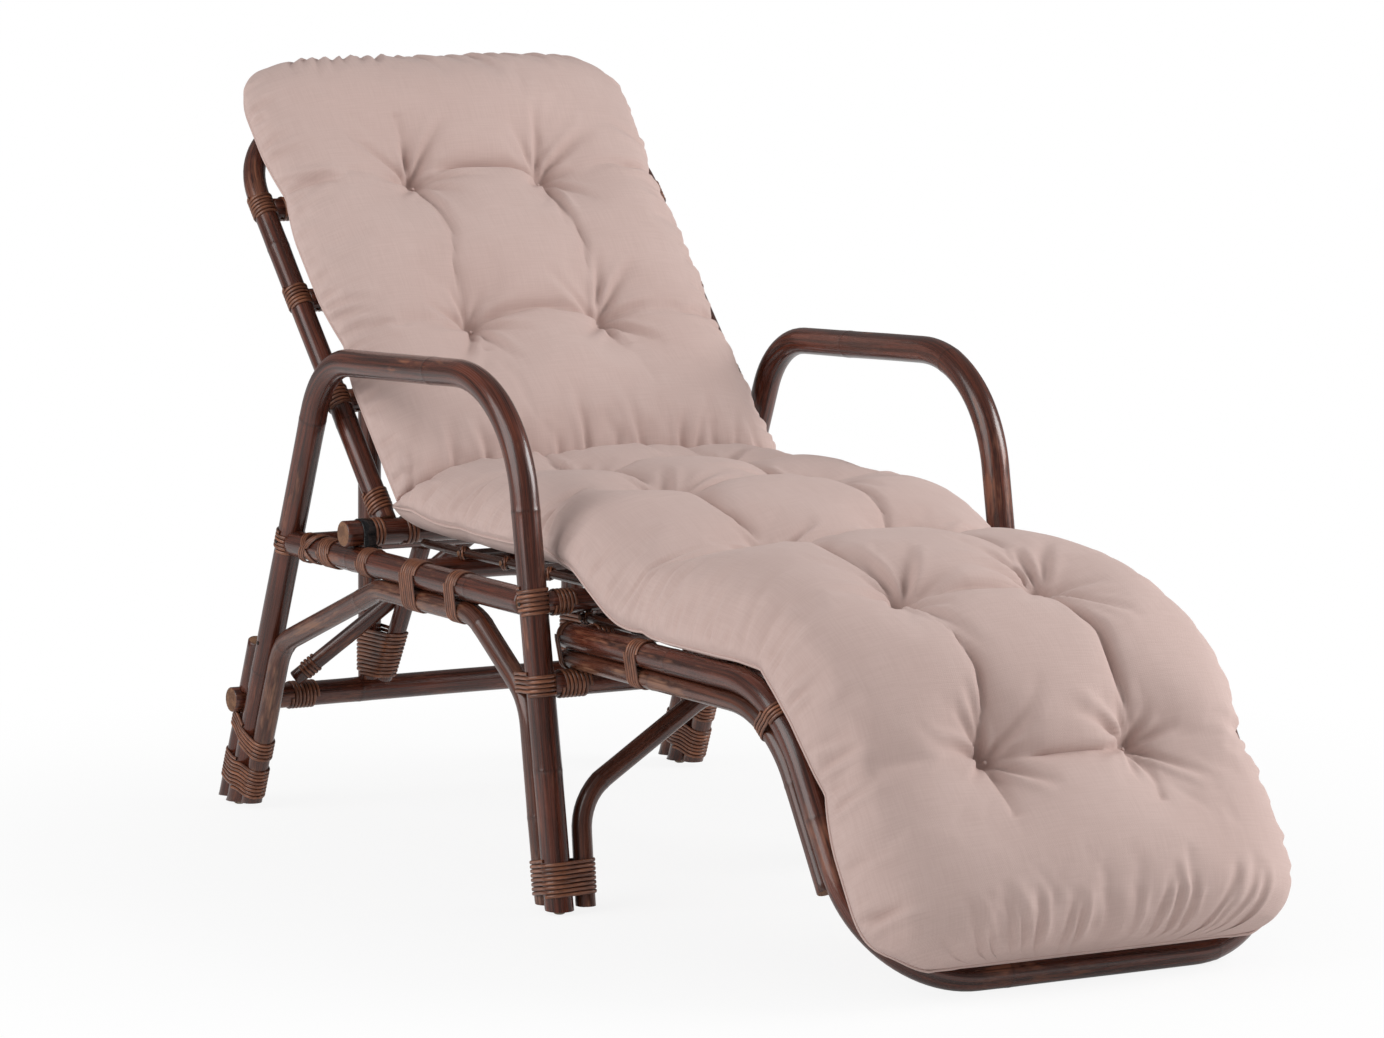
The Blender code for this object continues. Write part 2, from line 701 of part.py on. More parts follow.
def build_back_support(root):
    """Posts on the rear stretcher, their knee and diagonal braces, and the rest bar."""
    bar_half = POST_X + REST_BAR_OVERHANG
    cross_pole("back_rest_bar", bar_half, REAR_STRETCHER_Y, REST_BAR_Z, REST_BAR_R, root)
    post_top = REST_BAR_Z - REST_BAR_R - GAP
    crossbar = Vector((0, REAR_CROSSBAR_Y, RAIL_Z))
    lean = Vector((0, sin(KNEE_LEAN), -cos(KNEE_LEAN)))
    foot_reach = STRETCHER_R + BRACE_R + GAP
    head_reach = CROSSBAR_R + BRACE_R + GAP
    for side, sign in SIDES.items():
        x = sign * POST_X
        foot = (x, REAR_STRETCHER_Y, POST_FOOT_Z)
        head = (x, REAR_STRETCHER_Y, post_top)
        pole(f"back_post_{side}", (foot, head), POST_R, root)
        top = crossbar + lean * (CROSSBAR_R + GAP)
        drop = (top.z - POST_FOOT_Z - KNEE_FOOT_RISE) / cos(KNEE_LEAN)
        ends = [Vector((x, p.y, p.z)) for p in (top, top + lean * drop)]
        pole(f"knee_brace_{side}", ends, KNEE_R, root)
        foot = Vector((
            sign * BRACE_FOOT_X,
            REAR_STRETCHER_Y + foot_reach * cos(BRACE_FOOT_ANGLE),
            REAR_STRETCHER_Z + foot_reach * sin(BRACE_FOOT_ANGLE),
        ))
        head = Vector((
            sign * BRACE_HEAD_X,
            REAR_CROSSBAR_Y + head_reach,
            RAIL_Z,
        ))
        pole(f"rear_brace_{side}", (foot, head), BRACE_R, root)


def build_straps(root):
    """Saddle straps that hold the hinge pole down on the rails."""
    inner = HINGE_R + GAP
    outer = inner + STRAP_THICK
    foot_z = RAIL_Z + RAIL_R + GAP
    steps = POLE_SIDES
    arc = [pi * step / steps for step in range(steps + 1)]
    corner = 1 / cos(pi / (2 * steps))
    outline = [(outer + STRAP_FOOT, foot_z), (inner, foot_z)]
    outline += [
        (inner * corner * cos(a), HINGE_Z + inner * corner * sin(a)) for a in arc
    ]
    outline += [(-inner, foot_z), (-outer - STRAP_FOOT, foot_z)]
    outline += [(-outer - STRAP_FOOT, foot_z + STRAP_THICK), (-outer, foot_z + STRAP_THICK)]
    outline += [
        (outer * corner * cos(a), HINGE_Z + outer * corner * sin(a)) for a in arc[::-1]
    ]
    outline += [(outer, foot_z + STRAP_THICK), (outer + STRAP_FOOT, foot_z + STRAP_THICK)]
    count = len(outline)
    for side, sign in SIDES.items():
        points = []
        for offset in (-STRAP_WIDTH / 2, STRAP_WIDTH / 2):
            x = sign * STRAP_X + offset
            points += [(x, HINGE_Y + y, z) for y, z in outline]
        faces = [tuple(range(count)), tuple(range(count, 2 * count))]
        for index in range(count):
            onward = (index + 1) % count
            faces.append((index, onward, onward + count, index + count))
        add_object(f"hinge_strap_{side}", points, faces, "strap", root)


def build_base_lashings(root):
    """Cane strips round the feet, the rear legs, the rails and the posts."""
    arch = arch_route()
    arch_rear = Vector((0, *way((arch[0], arch[1]))))
    arch_front = Vector((0, *way((arch[4], arch[5]))))
    behind = shifted(REAR_LEG, ARM_R + LEG_POLE_R + GAP)
    arch_z = RAIL_Z - RAIL_R - ARCH_R - GAP
    lean = Vector((0, -sin(KNEE_LEAN), cos(KNEE_LEAN)))
    for side, sign in SIDES.items():
        x = sign * SIDE_X
        rear_foot = side_point(x, REAR_LEG[0])
        rear = (
            (rear_foot, REAR_LEAN, ARM_R),
            (side_point(x, arch[0]), arch_rear, ARCH_R),
            (side_point(x, behind[0]), REAR_LEAN, LEG_POLE_R),
        )
        axis = (rear_foot, REAR_LEAN)
        lashing(f"foot_lashing_rear_{side}", rear, axis, 0.019, 6, root)
        lashing(f"leg_lashing_{side}", rear, axis, 0.082, 4, root)
        front_foot = side_point(x, FRONT_LEG[0])
        foot, knee = (Vector((-sign * p.x, p.y, p.z)) for p in front_arch_half()[:2])
        front = (
            (front_foot, FRONT_LEAN, ARM_R),
            (side_point(x, arch[5]), -arch_front, ARCH_R),
            (foot, knee - foot, FRONT_ARCH_R),
        )
        lashing(f"foot_lashing_front_{side}", front, (front_foot, FRONT_LEAN), 0.014, 6, root)
        pair = (
            (Vector((x, 0, RAIL_Z)), Vector((0, 1, 0)), RAIL_R),
            (Vector((x, 0, arch_z)), Vector((0, 1, 0)), ARCH_R),
        )
        axis = (Vector((x, 0, RAIL_Z)), Vector((0, 1, 0)))
        lashing(f"rail_lashing_{side}", pair, axis, -0.020, 4, root)
        post = Vector((sign * POST_X, REAR_STRETCHER_Y, POST_FOOT_Z))
        knee = Vector((sign * POST_X, REAR_CROSSBAR_Y, RAIL_Z))
        bundle = ((post, Vector((0, 0, 1)), POST_R), (knee, lean, KNEE_R))
        axis = (post, Vector((0, 0, 1)))
        lashing(f"post_lashing_{side}", bundle, axis, 0.004, 11, root)


# Back


def back_half_width(along):
    """From the middle of the back to the middle of its side pole, at a distance up it."""
    into_bend = max(along - (BACK_LENGTH - BACK_BEND), 0)
    return BACK_X - BACK_BEND + sqrt(BACK_BEND**2 - into_bend**2)


def build_back(pivot):
    """Back frame on its hinge pole; local Y runs up the back and local Z out of it."""
    cross_pole("hinge_pole", SIDE_X + HINGE_OVERHANG, 0, 0, HINGE_R, pivot)
    half = ((-BACK_X, 0, 0), (-BACK_X, BACK_LENGTH, 0))
    corners = [*half, *((-x, y, z) for x, y, z in half[::-1])]
    route = rounded(corners, (BACK_BEND, BACK_BEND))
    frame = pole("back_frame", route, BACK_R, pivot, across=(0, 0, 1))
    reach = SIDE_X + HINGE_OVERHANG + BACK_R
    cope(frame, "back_frame_cutter", (-reach, 0, 0), (reach, 0, 0), HINGE_R)
    for place, along in BACK_CROSSBARS.items():
        name = f"back_crossbar_{place}"
        half_length = back_half_width(along + BACK_CROSSBAR_R)
        bar = cross_pole(name, half_length, along, 0, BACK_CROSSBAR_R, pivot)
        cope_to_route(bar, f"{name}_cutter", route, BACK_R, (0, 0, 1))
    end = BACK_LENGTH - BACK_R - 2 * GAP
    route = ((BACK_SLAT_START, BACK_SLAT_RISE), (end, BACK_SLAT_RISE))
    places = [(y + 2 * BACK_CROSSBAR_R, BACK_SLAT_RISE) for y in BACK_CROSSBARS.values()]
    slat_mat("back_slats", route, places, pivot)
    for side, sign in SIDES.items():
        side_pole = ((sign * BACK_X, 0, 0), (0, 1, 0), BACK_R)
        axis = ((sign * BACK_X, 0, 0), (0, 1, 0))
        lashing(f"back_lashing_{side}", (side_pole,), axis, 0.026, 5, pivot)


def build_back_cushion(pivot):
    rise = BACK_SLAT_RISE + SLAT_R + GAP
    route = [Vector((0, BACK_PAD_START, rise)), Vector((0, BACK_PAD_END, rise))]
    length = BACK_PAD_END - BACK_PAD_START
    tufts = [t - BACK_PAD_START for t in BACK_TUFTS]
    cushion(
        "back_cushion", route, length, tufts, (False, True), lambda s: BACK_PAD_THICK, 1, pivot
    )


# Seat


def build_seat(root):
    """Slats on the seat crossbars and the seat's part of the pad."""
    front_y = FRONT_CROSSBAR_Y - CROSSBAR_R
    route = ((front_y, SEAT_SLAT_Z), (SEAT_SLAT_REAR_Y, SEAT_SLAT_Z))
    step = (SEAT_SLAT_REAR_Y - front_y) / 4
    places = [(front_y + k * step, SEAT_SLAT_Z) for k in (1, 2, 3)]
    slat_mat("seat_slats", route, places, root)

    base_z = SEAT_PAD_Z
    rear_top = back_place(BACK_PAD_START - GAP, BACK_SLAT_RISE + SLAT_R)
    start_y = rear_top[0] - 0.014
    end_y = front_y - 2 * GAP
    route = [Vector((0, start_y, base_z)), Vector((0, end_y, base_z))]

    def thick_at(distance):
        """Full height of the pad, held under the back pad's lower face at the crease."""
        under_back = (BACK_PAD_START - 3 * GAP - (start_y - distance - HINGE_Y) * cos(RECLINE))
        crease = HINGE_Z + under_back / sin(RECLINE) - base_z
        return min(SEAT_PAD_THICK, crease)

    length = start_y - end_y
    cushion("seat_cushion", route, length, SEAT_TUFTS, (False, False), thick_at, -1, root)


# Footrest


def build_footrest(slide):
    """Bent footrest frame, the lower poles under it, crossbars, slats and lashings."""
    corners = [side_point(-FOOT_X, p) for p in FOOT_ROUTE]
    corners += [Vector((-p.x, p.y, p.z)) for p in corners[::-1]]
    bends = (FOOT_KNEE_BEND, FOOT_CORNER_BEND, FOOT_CORNER_BEND, FOOT_KNEE_BEND)
    frame_pole("footrest_frame", rounded(corners, bends), FOOT_R, slide)

    lower = offset_route(FOOT_ROUTE, -FOOT_LOWER_DROP)
    for side, sign in SIDES.items():
        route = [side_point(sign * FOOT_X, p) for p in lower]
        route = rounded(route, (FOOT_KNEE_BEND - FOOT_LOWER_DROP,))
        route = cut_route(route, 2, FOOT_LOWER_END_Z)
        pole(f"footrest_lower_pole_{side}", route, FOOT_LOWER_R, slide)

    for place, y in FOOT_CROSSBARS.items():
        name = f"footrest_crossbar_{place}"
        bar = cross_pole(name, FOOT_X, y, FOOT_TOP_Z, FOOT_CROSSBAR_R, slide)
        for side, sign in SIDES.items():
            low, high = ((sign * FOOT_X, y + d, FOOT_TOP_Z) for d in (-0.04, 0.04))
            cope(bar, f"{name}_cutter_{side}", low, high, FOOT_R)

    raised = offset_route(FOOT_ROUTE, FOOT_SLAT_RISE)
    route = rounded([side_point(0, p) for p in raised], (FOOT_KNEE_BEND + FOOT_SLAT_RISE,))
    route = cut_route(route, 2, FOOT_SLAT_END_Z)
    low_end = line_point(raised[1], raised[2], FOOT_SLAT_END_Z + 6 * BATTEN_R)
    mid_leg = line_point(raised[1], raised[2], FOOT_TOP_Z / 2)
    places = [(y + 2 * FOOT_CROSSBAR_R, raised[0][1]) for y in FOOT_CROSSBARS.values()]
    slat_mat("footrest_slats", [(p.y, p.z) for p in route], [*places, mid_leg, low_end], slide)

    middle = (FOOT_CROSSBARS["rear"] + FOOT_CROSSBARS["knee"]) / 2
    for side, sign in SIDES.items():
        x = sign * FOOT_X
        pair = (
            (Vector((x, middle, FOOT_TOP_Z)), Vector((0, 1, 0)), FOOT_R),
            (Vector((x, middle, FOOT_TOP_Z - FOOT_LOWER_DROP)), Vector((0, 1, 0)), FOOT_LOWER_R),
        )
        axis = (Vector((x, middle, FOOT_TOP_Z)), Vector((0, 1, 0)))
        lashing(f"footrest_lashing_{side}", pair, axis, -0.010, 3, slide)


def frame_pole(name, route, radius, parent):
    """A bent pole out of one plane: each ring turns only as its route does."""
    points, faces = [], []
    across = Vector((1, 0, 0))
    for index, centre in enumerate(route):
        before = route[max(index - 1, 0)]
        after = route[min(index + 1, len(route) - 1)]
        tangent = (after - before).normalized()
        across = (across - tangent * across.dot(tangent)).normalized()
        upward = tangent.cross(across)
        for side in range(POLE_SIDES):
            angle = 2 * pi * side / POLE_SIDES
            points.append(centre + (across * cos(angle) + upward * sin(angle)) * radius)
    for ring in range(len(route) - 1):
        for side in range(POLE_SIDES):
            a = ring * POLE_SIDES + side
            b = ring * POLE_SIDES + (side + 1) % POLE_SIDES
            faces.append((a, b, b + POLE_SIDES, a + POLE_SIDES))
    faces.append(tuple(range(POLE_SIDES)))
    faces.append(tuple(range(len(points) - POLE_SIDES, len(points))))
    return add_object(name, points, faces, "rattan", parent)


def build_leg_cushion(slide):
    """The pad from the seat's edge down on to the footrest and round its knee."""
    rise = FOOT_SLAT_RISE + SLAT_R + GAP
    raised = offset_route(FOOT_ROUTE, rise)
    start_y = FRONT_CROSSBAR_Y - CROSSBAR_R - 3 * GAP
    corners = [(start_y, SEAT_PAD_Z), (start_y - LEG_PAD_DROP, raised[0][1]), *raised[1:]]
    bends = (LEG_PAD_DROP_BEND, FOOT_KNEE_BEND + rise)
    route = rounded([side_point(0, p) for p in corners], bends)
    cushion(
        "leg_cushion", route, LEG_PAD_LENGTH, LEG_TUFTS, (False, True),
        lambda s: SEAT_PAD_THICK, -1, slide,
    )


def centre_on_origin(root):
    """Moves the root empty so that the origin lies under the middle of the lounger."""
    bpy.context.view_layer.update()
    ys = [
        (piece.matrix_world @ corner.co).y
        for piece in root.children_recursive
        if piece.type == "MESH" and not piece.hide_render
        for corner in piece.data.vertices
    ]
    root.location.y = -(min(ys) + max(ys)) / 2
    print(f"The middle of the arms lies {1000 * root.location.y:.1f} mm behind the origin")


def main():
    clear_scene()
    root = add_empty("lounger", (0, 0, 0))
    pivot = add_empty("back_pivot", (0, HINGE_Y, HINGE_Z), root)
    pivot.rotation_euler.x = RECLINE
    slide = add_empty("footrest_slide", (0, 0, 0), root)
    for side, sign in SIDES.items():
        build_side(side, sign, root)
    build_crossbars(root)
    build_front_arch(root)
    build_back_support(root)
    build_straps(root)
    build_base_lashings(root)
    build_seat(root)
    build_back(pivot)
    build_back_cushion(pivot)
    build_footrest(slide)
    build_leg_cushion(slide)
    centre_on_origin(root)


if __name__ == "__main__":
    main()
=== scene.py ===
"""Rattan sun lounger with a hinged back, a slide-out footrest and a tufted pad.

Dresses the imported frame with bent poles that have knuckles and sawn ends, cane bindings
wound turn by turn, slat decks and a tufted canvas pad. Metres, +Z up. Side-view points
are (y, z) counted from the middle of the arms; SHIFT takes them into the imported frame.
"""

import logging
import zlib
from dataclasses import dataclass, field
from enum import Enum
from math import ceil, cos, exp, hypot, pi, radians, sin, sqrt, tan
from random import Random
from typing import Callable, Sequence

import bmesh
import bpy
import numpy as np
from mathutils import Matrix, Vector, noise


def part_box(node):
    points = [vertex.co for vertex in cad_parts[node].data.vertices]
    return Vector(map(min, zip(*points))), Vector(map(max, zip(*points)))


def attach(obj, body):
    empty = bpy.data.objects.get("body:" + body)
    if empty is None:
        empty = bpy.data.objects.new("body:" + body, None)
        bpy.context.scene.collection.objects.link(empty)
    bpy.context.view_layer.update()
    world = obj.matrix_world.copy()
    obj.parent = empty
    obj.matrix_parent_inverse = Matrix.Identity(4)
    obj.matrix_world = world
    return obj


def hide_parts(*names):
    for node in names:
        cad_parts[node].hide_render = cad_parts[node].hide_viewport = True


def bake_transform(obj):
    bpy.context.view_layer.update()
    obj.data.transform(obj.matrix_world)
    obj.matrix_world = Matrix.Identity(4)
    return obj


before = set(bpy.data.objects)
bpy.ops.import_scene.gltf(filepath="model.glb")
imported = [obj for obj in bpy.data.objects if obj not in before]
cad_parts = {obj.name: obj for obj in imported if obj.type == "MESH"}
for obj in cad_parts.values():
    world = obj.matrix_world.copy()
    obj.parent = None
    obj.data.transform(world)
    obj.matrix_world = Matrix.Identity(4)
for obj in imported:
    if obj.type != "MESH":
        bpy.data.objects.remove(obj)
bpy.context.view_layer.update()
LOG = logging.getLogger("lounger")

Point = tuple[float, float]
Line = tuple[Point, Point]
SIDES = {"right": -1, "left": 1}

# Sizes that several sub-assemblies share. SEATED is how far a pole's end runs into its neighbour.
GAP = 0.0003
FLOOR_Z = 0.0
SIDE_X = 0.310
ARM_R = 0.016
RAIL_R = 0.0155
RAIL_Z = 0.3345
HINGE_Y = 0.148
HINGE_R = 0.015
HINGE_Z = RAIL_Z + RAIL_R + GAP + HINGE_R
RECLINE = radians(47.5)
CROSSBAR_R = 0.013
STRETCHER_R = 0.015
REAR_STRETCHER_Z = 0.131
FOOT_Z = 0.0043
SHORT_FOOT_Z = 0.0065
BAR_OVERHANG = 0.020
SEATED = 0.003
BACK_R = 0.0135
FOOTREST_R = 0.0145
FOOTREST_LOWER_R = 0.0105
FOOTREST_Z = 0.2965
SLAT_R = 0.005
SLATS_REAR_Y = 0.118
ARC_STEP = radians(4)
SHARP_ANGLE = radians(50)
UP, ACROSS, BACKWARD = Vector((0, 0, 1)), Vector((1, 0, 0)), Vector((0, 1, 0))
SHIFT = (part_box("hinge_pole")[0][1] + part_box("hinge_pole")[1][1]) / 2 - HINGE_Y
TO_FRAME = Matrix.Translation((0, SHIFT, 0))
TO_BACK = Matrix.Translation((0, HINGE_Y + SHIFT, HINGE_Z)) @ Matrix.Rotation(RECLINE, 4, "X")


class Body(str, Enum):
    """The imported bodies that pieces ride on."""

    BASE = "base"
    BACK = "back"
    FOOTREST = "footrest"


# Routes in the side view


def side_point(x: float, point: Point) -> Vector:
    """A side-view point (y, z) at the given x."""
    return Vector((x, point[0], point[1]))


def line_point(start: Point, end: Point, z: float) -> Point:
    """Where the side-view line through two points reaches the height z."""
    share = (z - start[1]) / (end[1] - start[1])
    return (start[0] + share * (end[0] - start[0]), z)


def way(line: Line) -> Point:
    """Direction of a side-view line, from its start to its end."""
    return (line[1][0] - line[0][0], line[1][1] - line[0][1])


def shifted(line: Line, distance: float) -> Line:
    """The side-view line moved to the right of its way for a positive distance.

    Args:
        line: the line to move.
        distance: how far.

    Returns:
        The moved line.
    """
    along = way(line)
    length = hypot(*along)
    dy, dz = distance * along[1] / length, -distance * along[0] / length
    return ((line[0][0] + dy, line[0][1] + dz), (line[1][0] + dy, line[1][1] + dz))


def crossing(a: Line, b: Line) -> Point:
    """Where two side-view lines cross.

    Args:
        a: one line.
        b: the other line.

    Returns:
        Their shared point.
    """
    (ay, az), (by, bz) = way(a), way(b)
    share = ((b[0][0] - a[0][0]) * bz - (b[0][1] - a[0][1]) * by) / (ay * bz - az * by)
    return (a[0][0] + share * ay, a[0][1] + share * az)


def offset_route(points: Sequence[Point], distance: float) -> list[Point]:
    """A side-view polyline moved sideways as a whole, with its corners kept."""
    lines = [shifted(pair, distance) for pair in zip(points, points[1:])]
    return [lines[0][0], *(crossing(a, b) for a, b in zip(lines, lines[1:])), lines[-1][1]]


def rounded(points: Sequence[Sequence[float]], bends: Sequence[float]) -> list[Vector]:
    """The polyline with each inner corner turned into a fine arc.

    Args:
        points: the corners, ends included.
        bends: the bend radius of each inner corner.

    Returns:
        The points of the smooth route.
    """
    route = [Vector(points[0])]
    for corner, bend, before, after in zip(points[1:-1], bends, points, points[2:]):
        corner = Vector(corner)
        inward = (Vector(before) - corner).normalized()
        onward = (Vector(after) - corner).normalized()
        half = inward.angle(onward) / 2
        centre = corner + (inward + onward).normalized() * (bend / sin(half))
        start = corner + inward * (bend / tan(half)) - centre
        end = corner + onward * (bend / tan(half)) - centre
        turn = pi - 2 * half
        steps = max(3, ceil(turn / ARC_STEP))
        for step in range(steps + 1):
            share = step / steps
            arm = start * sin((1 - share) * turn) + end * sin(share * turn)
            route.append(centre + arm / sin(turn))
    return [*route, Vector(points[-1])]


def mirrored(half: Sequence[Vector]) -> list[Vector]:
    """Half a route on one side, followed by its mirror image across the middle."""
    return [*half, *(Vector((-p.x, p.y, p.z)) for p in half[::-1])]


def cut_low(route: Sequence[Vector], z: float) -> list[Vector]:
    """The route up to where it falls to the height z.

    Args:
        route: the route, from its high end.
        z: the height.

    Returns:
        The kept points, the last one at the height z.
    """
    kept = [route[0]]
    for point in route[1:]:
        if point.z < z:
            before = kept[-1]
            return [*kept, before.lerp(point, (z - before.z) / (point.z - before.z))]
        kept.append(point)
    return kept


def lengths(route: Sequence[Vector]) -> list[float]:
    """Distance of each point of the route from its start, measured along it.

    Args:
        route: the route's points.

    Returns:
        One distance for each point.
    """
    run = [0.0]
    for a, b in zip(route, route[1:]):
        run.append(run[-1] + (b - a).length)
    return run


def at_length(route: Sequence[Vector], run: Sequence[float], distance: float) -> Vector:
    """The point of the route at a distance along it.

    Args:
        route: the route's points.
        run: their distances, as lengths gives them.
        distance: how far along.

    Returns:
        The point there.
    """
    for index in range(1, len(run)):
        if distance <= run[index] or index == len(run) - 1:
            share = (distance - run[index - 1]) / max(run[index] - run[index - 1], 1e-9)
            return route[index - 1].lerp(route[index], min(share, 1.0))
    return route[-1]


ARM_REAR: Point = (0.2345, 0.5575)
ARM_FRONT: Point = (-0.222, 0.578)
REAR_LEG: Line = (line_point((0.461, 0), ARM_REAR, FOOT_Z), ARM_REAR)
FRONT_LEG: Line = (line_point((-0.327, 0), ARM_FRONT, FOOT_Z), ARM_FRONT)
REAR_LEAN = Vector((0, *way(REAR_LEG))).normalized()
FRONT_LEAN = Vector((0, *way(FRONT_LEG))).normalized()
FRONT_BAR_Y = line_point(*FRONT_LEG, RAIL_Z)[0]
REAR_STRETCHER_Y = line_point(*shifted(REAR_LEG, ARM_R + STRETCHER_R + GAP), REAR_STRETCHER_Z)[0]


# Shader graphs


class Graph:
    """Adds nodes to a tree and joins them with short calls."""

    def __init__(self, tree: bpy.types.NodeTree) -> None:
        """Keeps the tree that the nodes go into."""
        self.tree = tree

    def put(self, socket: bpy.types.NodeSocket, value: object) -> None:
        """Joins a socket to another, or sets its constant."""
        if isinstance(value, bpy.types.NodeSocket):
            self.tree.links.new(value, socket)
        elif value is not None:
            socket.default_value = value

    def add(self, kind: str, inputs: dict | None = None, **settings: object) -> bpy.types.Node:
        """A node with its settings and inputs.

        Args:
            kind: the node's type.
            inputs: sockets or constants by input name or number.
            settings: properties of the node itself.

        Returns:
            The new node.
        """
        node = self.tree.nodes.new(kind)
        for key, value in settings.items():
            setattr(node, key, value)
        for key, value in (inputs or {}).items():
            self.put(node.inputs[key], value)
        return node

    def math(self, operation: str, a: object, b: object = None, clamp: bool = False) -> object:
        """Result socket of a Math node."""
        inputs = {0: a} if b is None else {0: a, 1: b}
        return self.add("ShaderNodeMath", inputs, operation=operation, use_clamp=clamp).outputs[0]

    def times(self, a: object, b: object) -> object:
        """Product of two values."""
        return self.math("MULTIPLY", a, b)

    def plus(self, a: object, b: object) -> object:
        """Sum of two values."""
        return self.math("ADD", a, b)

    def scaled(self, vector: object, factors: object) -> object:
        """The vector multiplied by three factors."""
        inputs = {0: vector, 1: factors}
        return self.add("ShaderNodeVectorMath", inputs, operation="MULTIPLY").outputs[0]

    def noise(self, vector: object, scale: object, detail: float = 3, rough: float = 0.5) -> object:
        """Value of a noise texture, from 0 to 1."""
        inputs = {"Vector": vector, "Scale": scale, "Detail": detail, "Roughness": rough}
        return self.add("ShaderNodeTexNoise", inputs).outputs[0]

    def between(self, value: object, low: object, high: object) -> object:
        """0 below low, 1 above high, and smooth from one to the other."""
        inputs = {"Value": value, "From Min": low, "From Max": high}
        return self.add("ShaderNodeMapRange", inputs, interpolation_type="SMOOTHSTEP").outputs[0]

    def mix(self, share: object, a: object, b: object, blend: str = "MIX") -> object:
        """Two colours mixed by a share.

        Args:
            share: how much of b there is.
            a: the first colour.
            b: the second colour.
            blend: the blend mode.

        Returns:
            The mixed colour's socket.
        """
        node = self.add("ShaderNodeMix", data_type="RGBA", blend_type=blend)
        self.put(node.inputs[0], share)
        self.put(node.inputs[6], a)
        self.put(node.inputs[7], b)
        return node.outputs[2]

    def attribute(self, name: str, output: str) -> object:
        """A value that the mesh itself carries."""
        return self.add("ShaderNodeAttribute", attribute_name=name).outputs[output]

    def bump(self, height: object, strength: float, distance: float) -> object:
        """Normal socket of a Bump node."""
        inputs = {"Strength": strength, "Distance": distance, "Height": height}
        return self.add("ShaderNodeBump", inputs).outputs[0]

    def group(self, kind: "Effect", inputs: dict) -> bpy.types.Node:
        """Places a shared effect in this tree.

        Args:
            kind: which effect.
            inputs: sockets or constants by input name.

        Returns:
            The group's node.
        """
        node = self.add("ShaderNodeGroup", node_tree=effect(kind))
        for key, value in inputs.items():
            self.put(node.inputs[key], value)
        return node


class Effect(Enum):
    """Effects that more than one finish uses, each a shader node group."""

    GRAIN = "grain"
    PATINA = "patina"
    WEAVE = "weave"


def grain_nodes(graph: Graph, given: object, out: object) -> None:
    """Fibres that run along a pole or strip: a broad streak, a fine one and their height.

    Args:
        graph: the group's graph.
        given: the group's inputs by name.
        out: the group's output node.
    """
    fine = graph.times(given["Scale"], 3.1)
    broad_vector = graph.scaled(given["Vector"], (1, 1, 0.03))
    fine_vector = graph.scaled(given["Vector"], (1, 1, 0.012))
    broad = graph.noise(broad_vector, given["Scale"], 5, 0.6)
    thin = graph.noise(fine_vector, fine, 3, 0.65)
    graph.put(out.inputs["Broad"], graph.between(broad, 0.34, 0.68))
    graph.put(out.inputs["Thin"], graph.between(thin, 0.36, 0.66))
    graph.put(out.inputs["Height"], graph.plus(thin, graph.times(broad, 0.6)))


def patina_nodes(graph: Graph, given: object, out: object) -> None:
    """Soft uneven patches, for wear, fading and soiling.

    Args:
        graph: the group's graph.
        given: the group's inputs by name.
        out: the group's output node.
    """
    large = graph.noise(given["Vector"], given["Scale"], 4, 0.6)
    small = graph.noise(given["Vector"], graph.times(given["Scale"], 6.3), 2, 0.5)
    both = graph.plus(large, graph.times(graph.math("SUBTRACT", small, 0.5), 0.3))
    graph.put(out.inputs["Mask"], graph.between(both, given["Low"], given["High"]))


def weave_nodes(graph: Graph, given: object, out: object) -> None:
    """Plain weave: threads that pass over and under each other, thick and thin.

    Args:
        graph: the group's graph.
        given: the group's inputs by name.
        out: the group's output node.
    """
    apart = graph.add("ShaderNodeSeparateXYZ", {0: given["Vector"]}).outputs
    across = graph.times(apart[0], given["Threads"])
    along = graph.times(apart[1], given["Threads"])
    weft = graph.math("ABSOLUTE", graph.math("SINE", graph.times(across, pi)))
    warp = graph.math("ABSOLUTE", graph.math("SINE", graph.times(along, pi)))
    steps = graph.plus(graph.math("FLOOR", across), graph.math("FLOOR", along))
    over = graph.math("PINGPONG", steps, 1.0)
    under = graph.math("SUBTRACT", 1.0, over)
    height = graph.plus(graph.times(weft, over), graph.times(warp, under))
    slubs_x = graph.noise(graph.scaled(given["Vector"], (1.0, 0.03, 1.0)), given["Threads"], 2)
    slubs_y = graph.noise(graph.scaled(given["Vector"], (0.03, 1.0, 1.0)), given["Threads"], 2)
    graph.put(out.inputs["Height"], height)
    graph.put(out.inputs["Slub"], graph.times(graph.plus(slubs_x, slubs_y), 0.5))


EFFECTS = {
    Effect.GRAIN: (grain_nodes, {"Vector": None, "Scale": 400.0}, ("Broad", "Thin", "Height")),
    Effect.PATINA: (
        patina_nodes, {"Vector": None, "Scale": 8.0, "Low": 0.4, "High": 0.6}, ("Mask",)
    ),
    Effect.WEAVE: (weave_nodes, {"Vector": None, "Threads": 900.0}, ("Height", "Slub")),
}


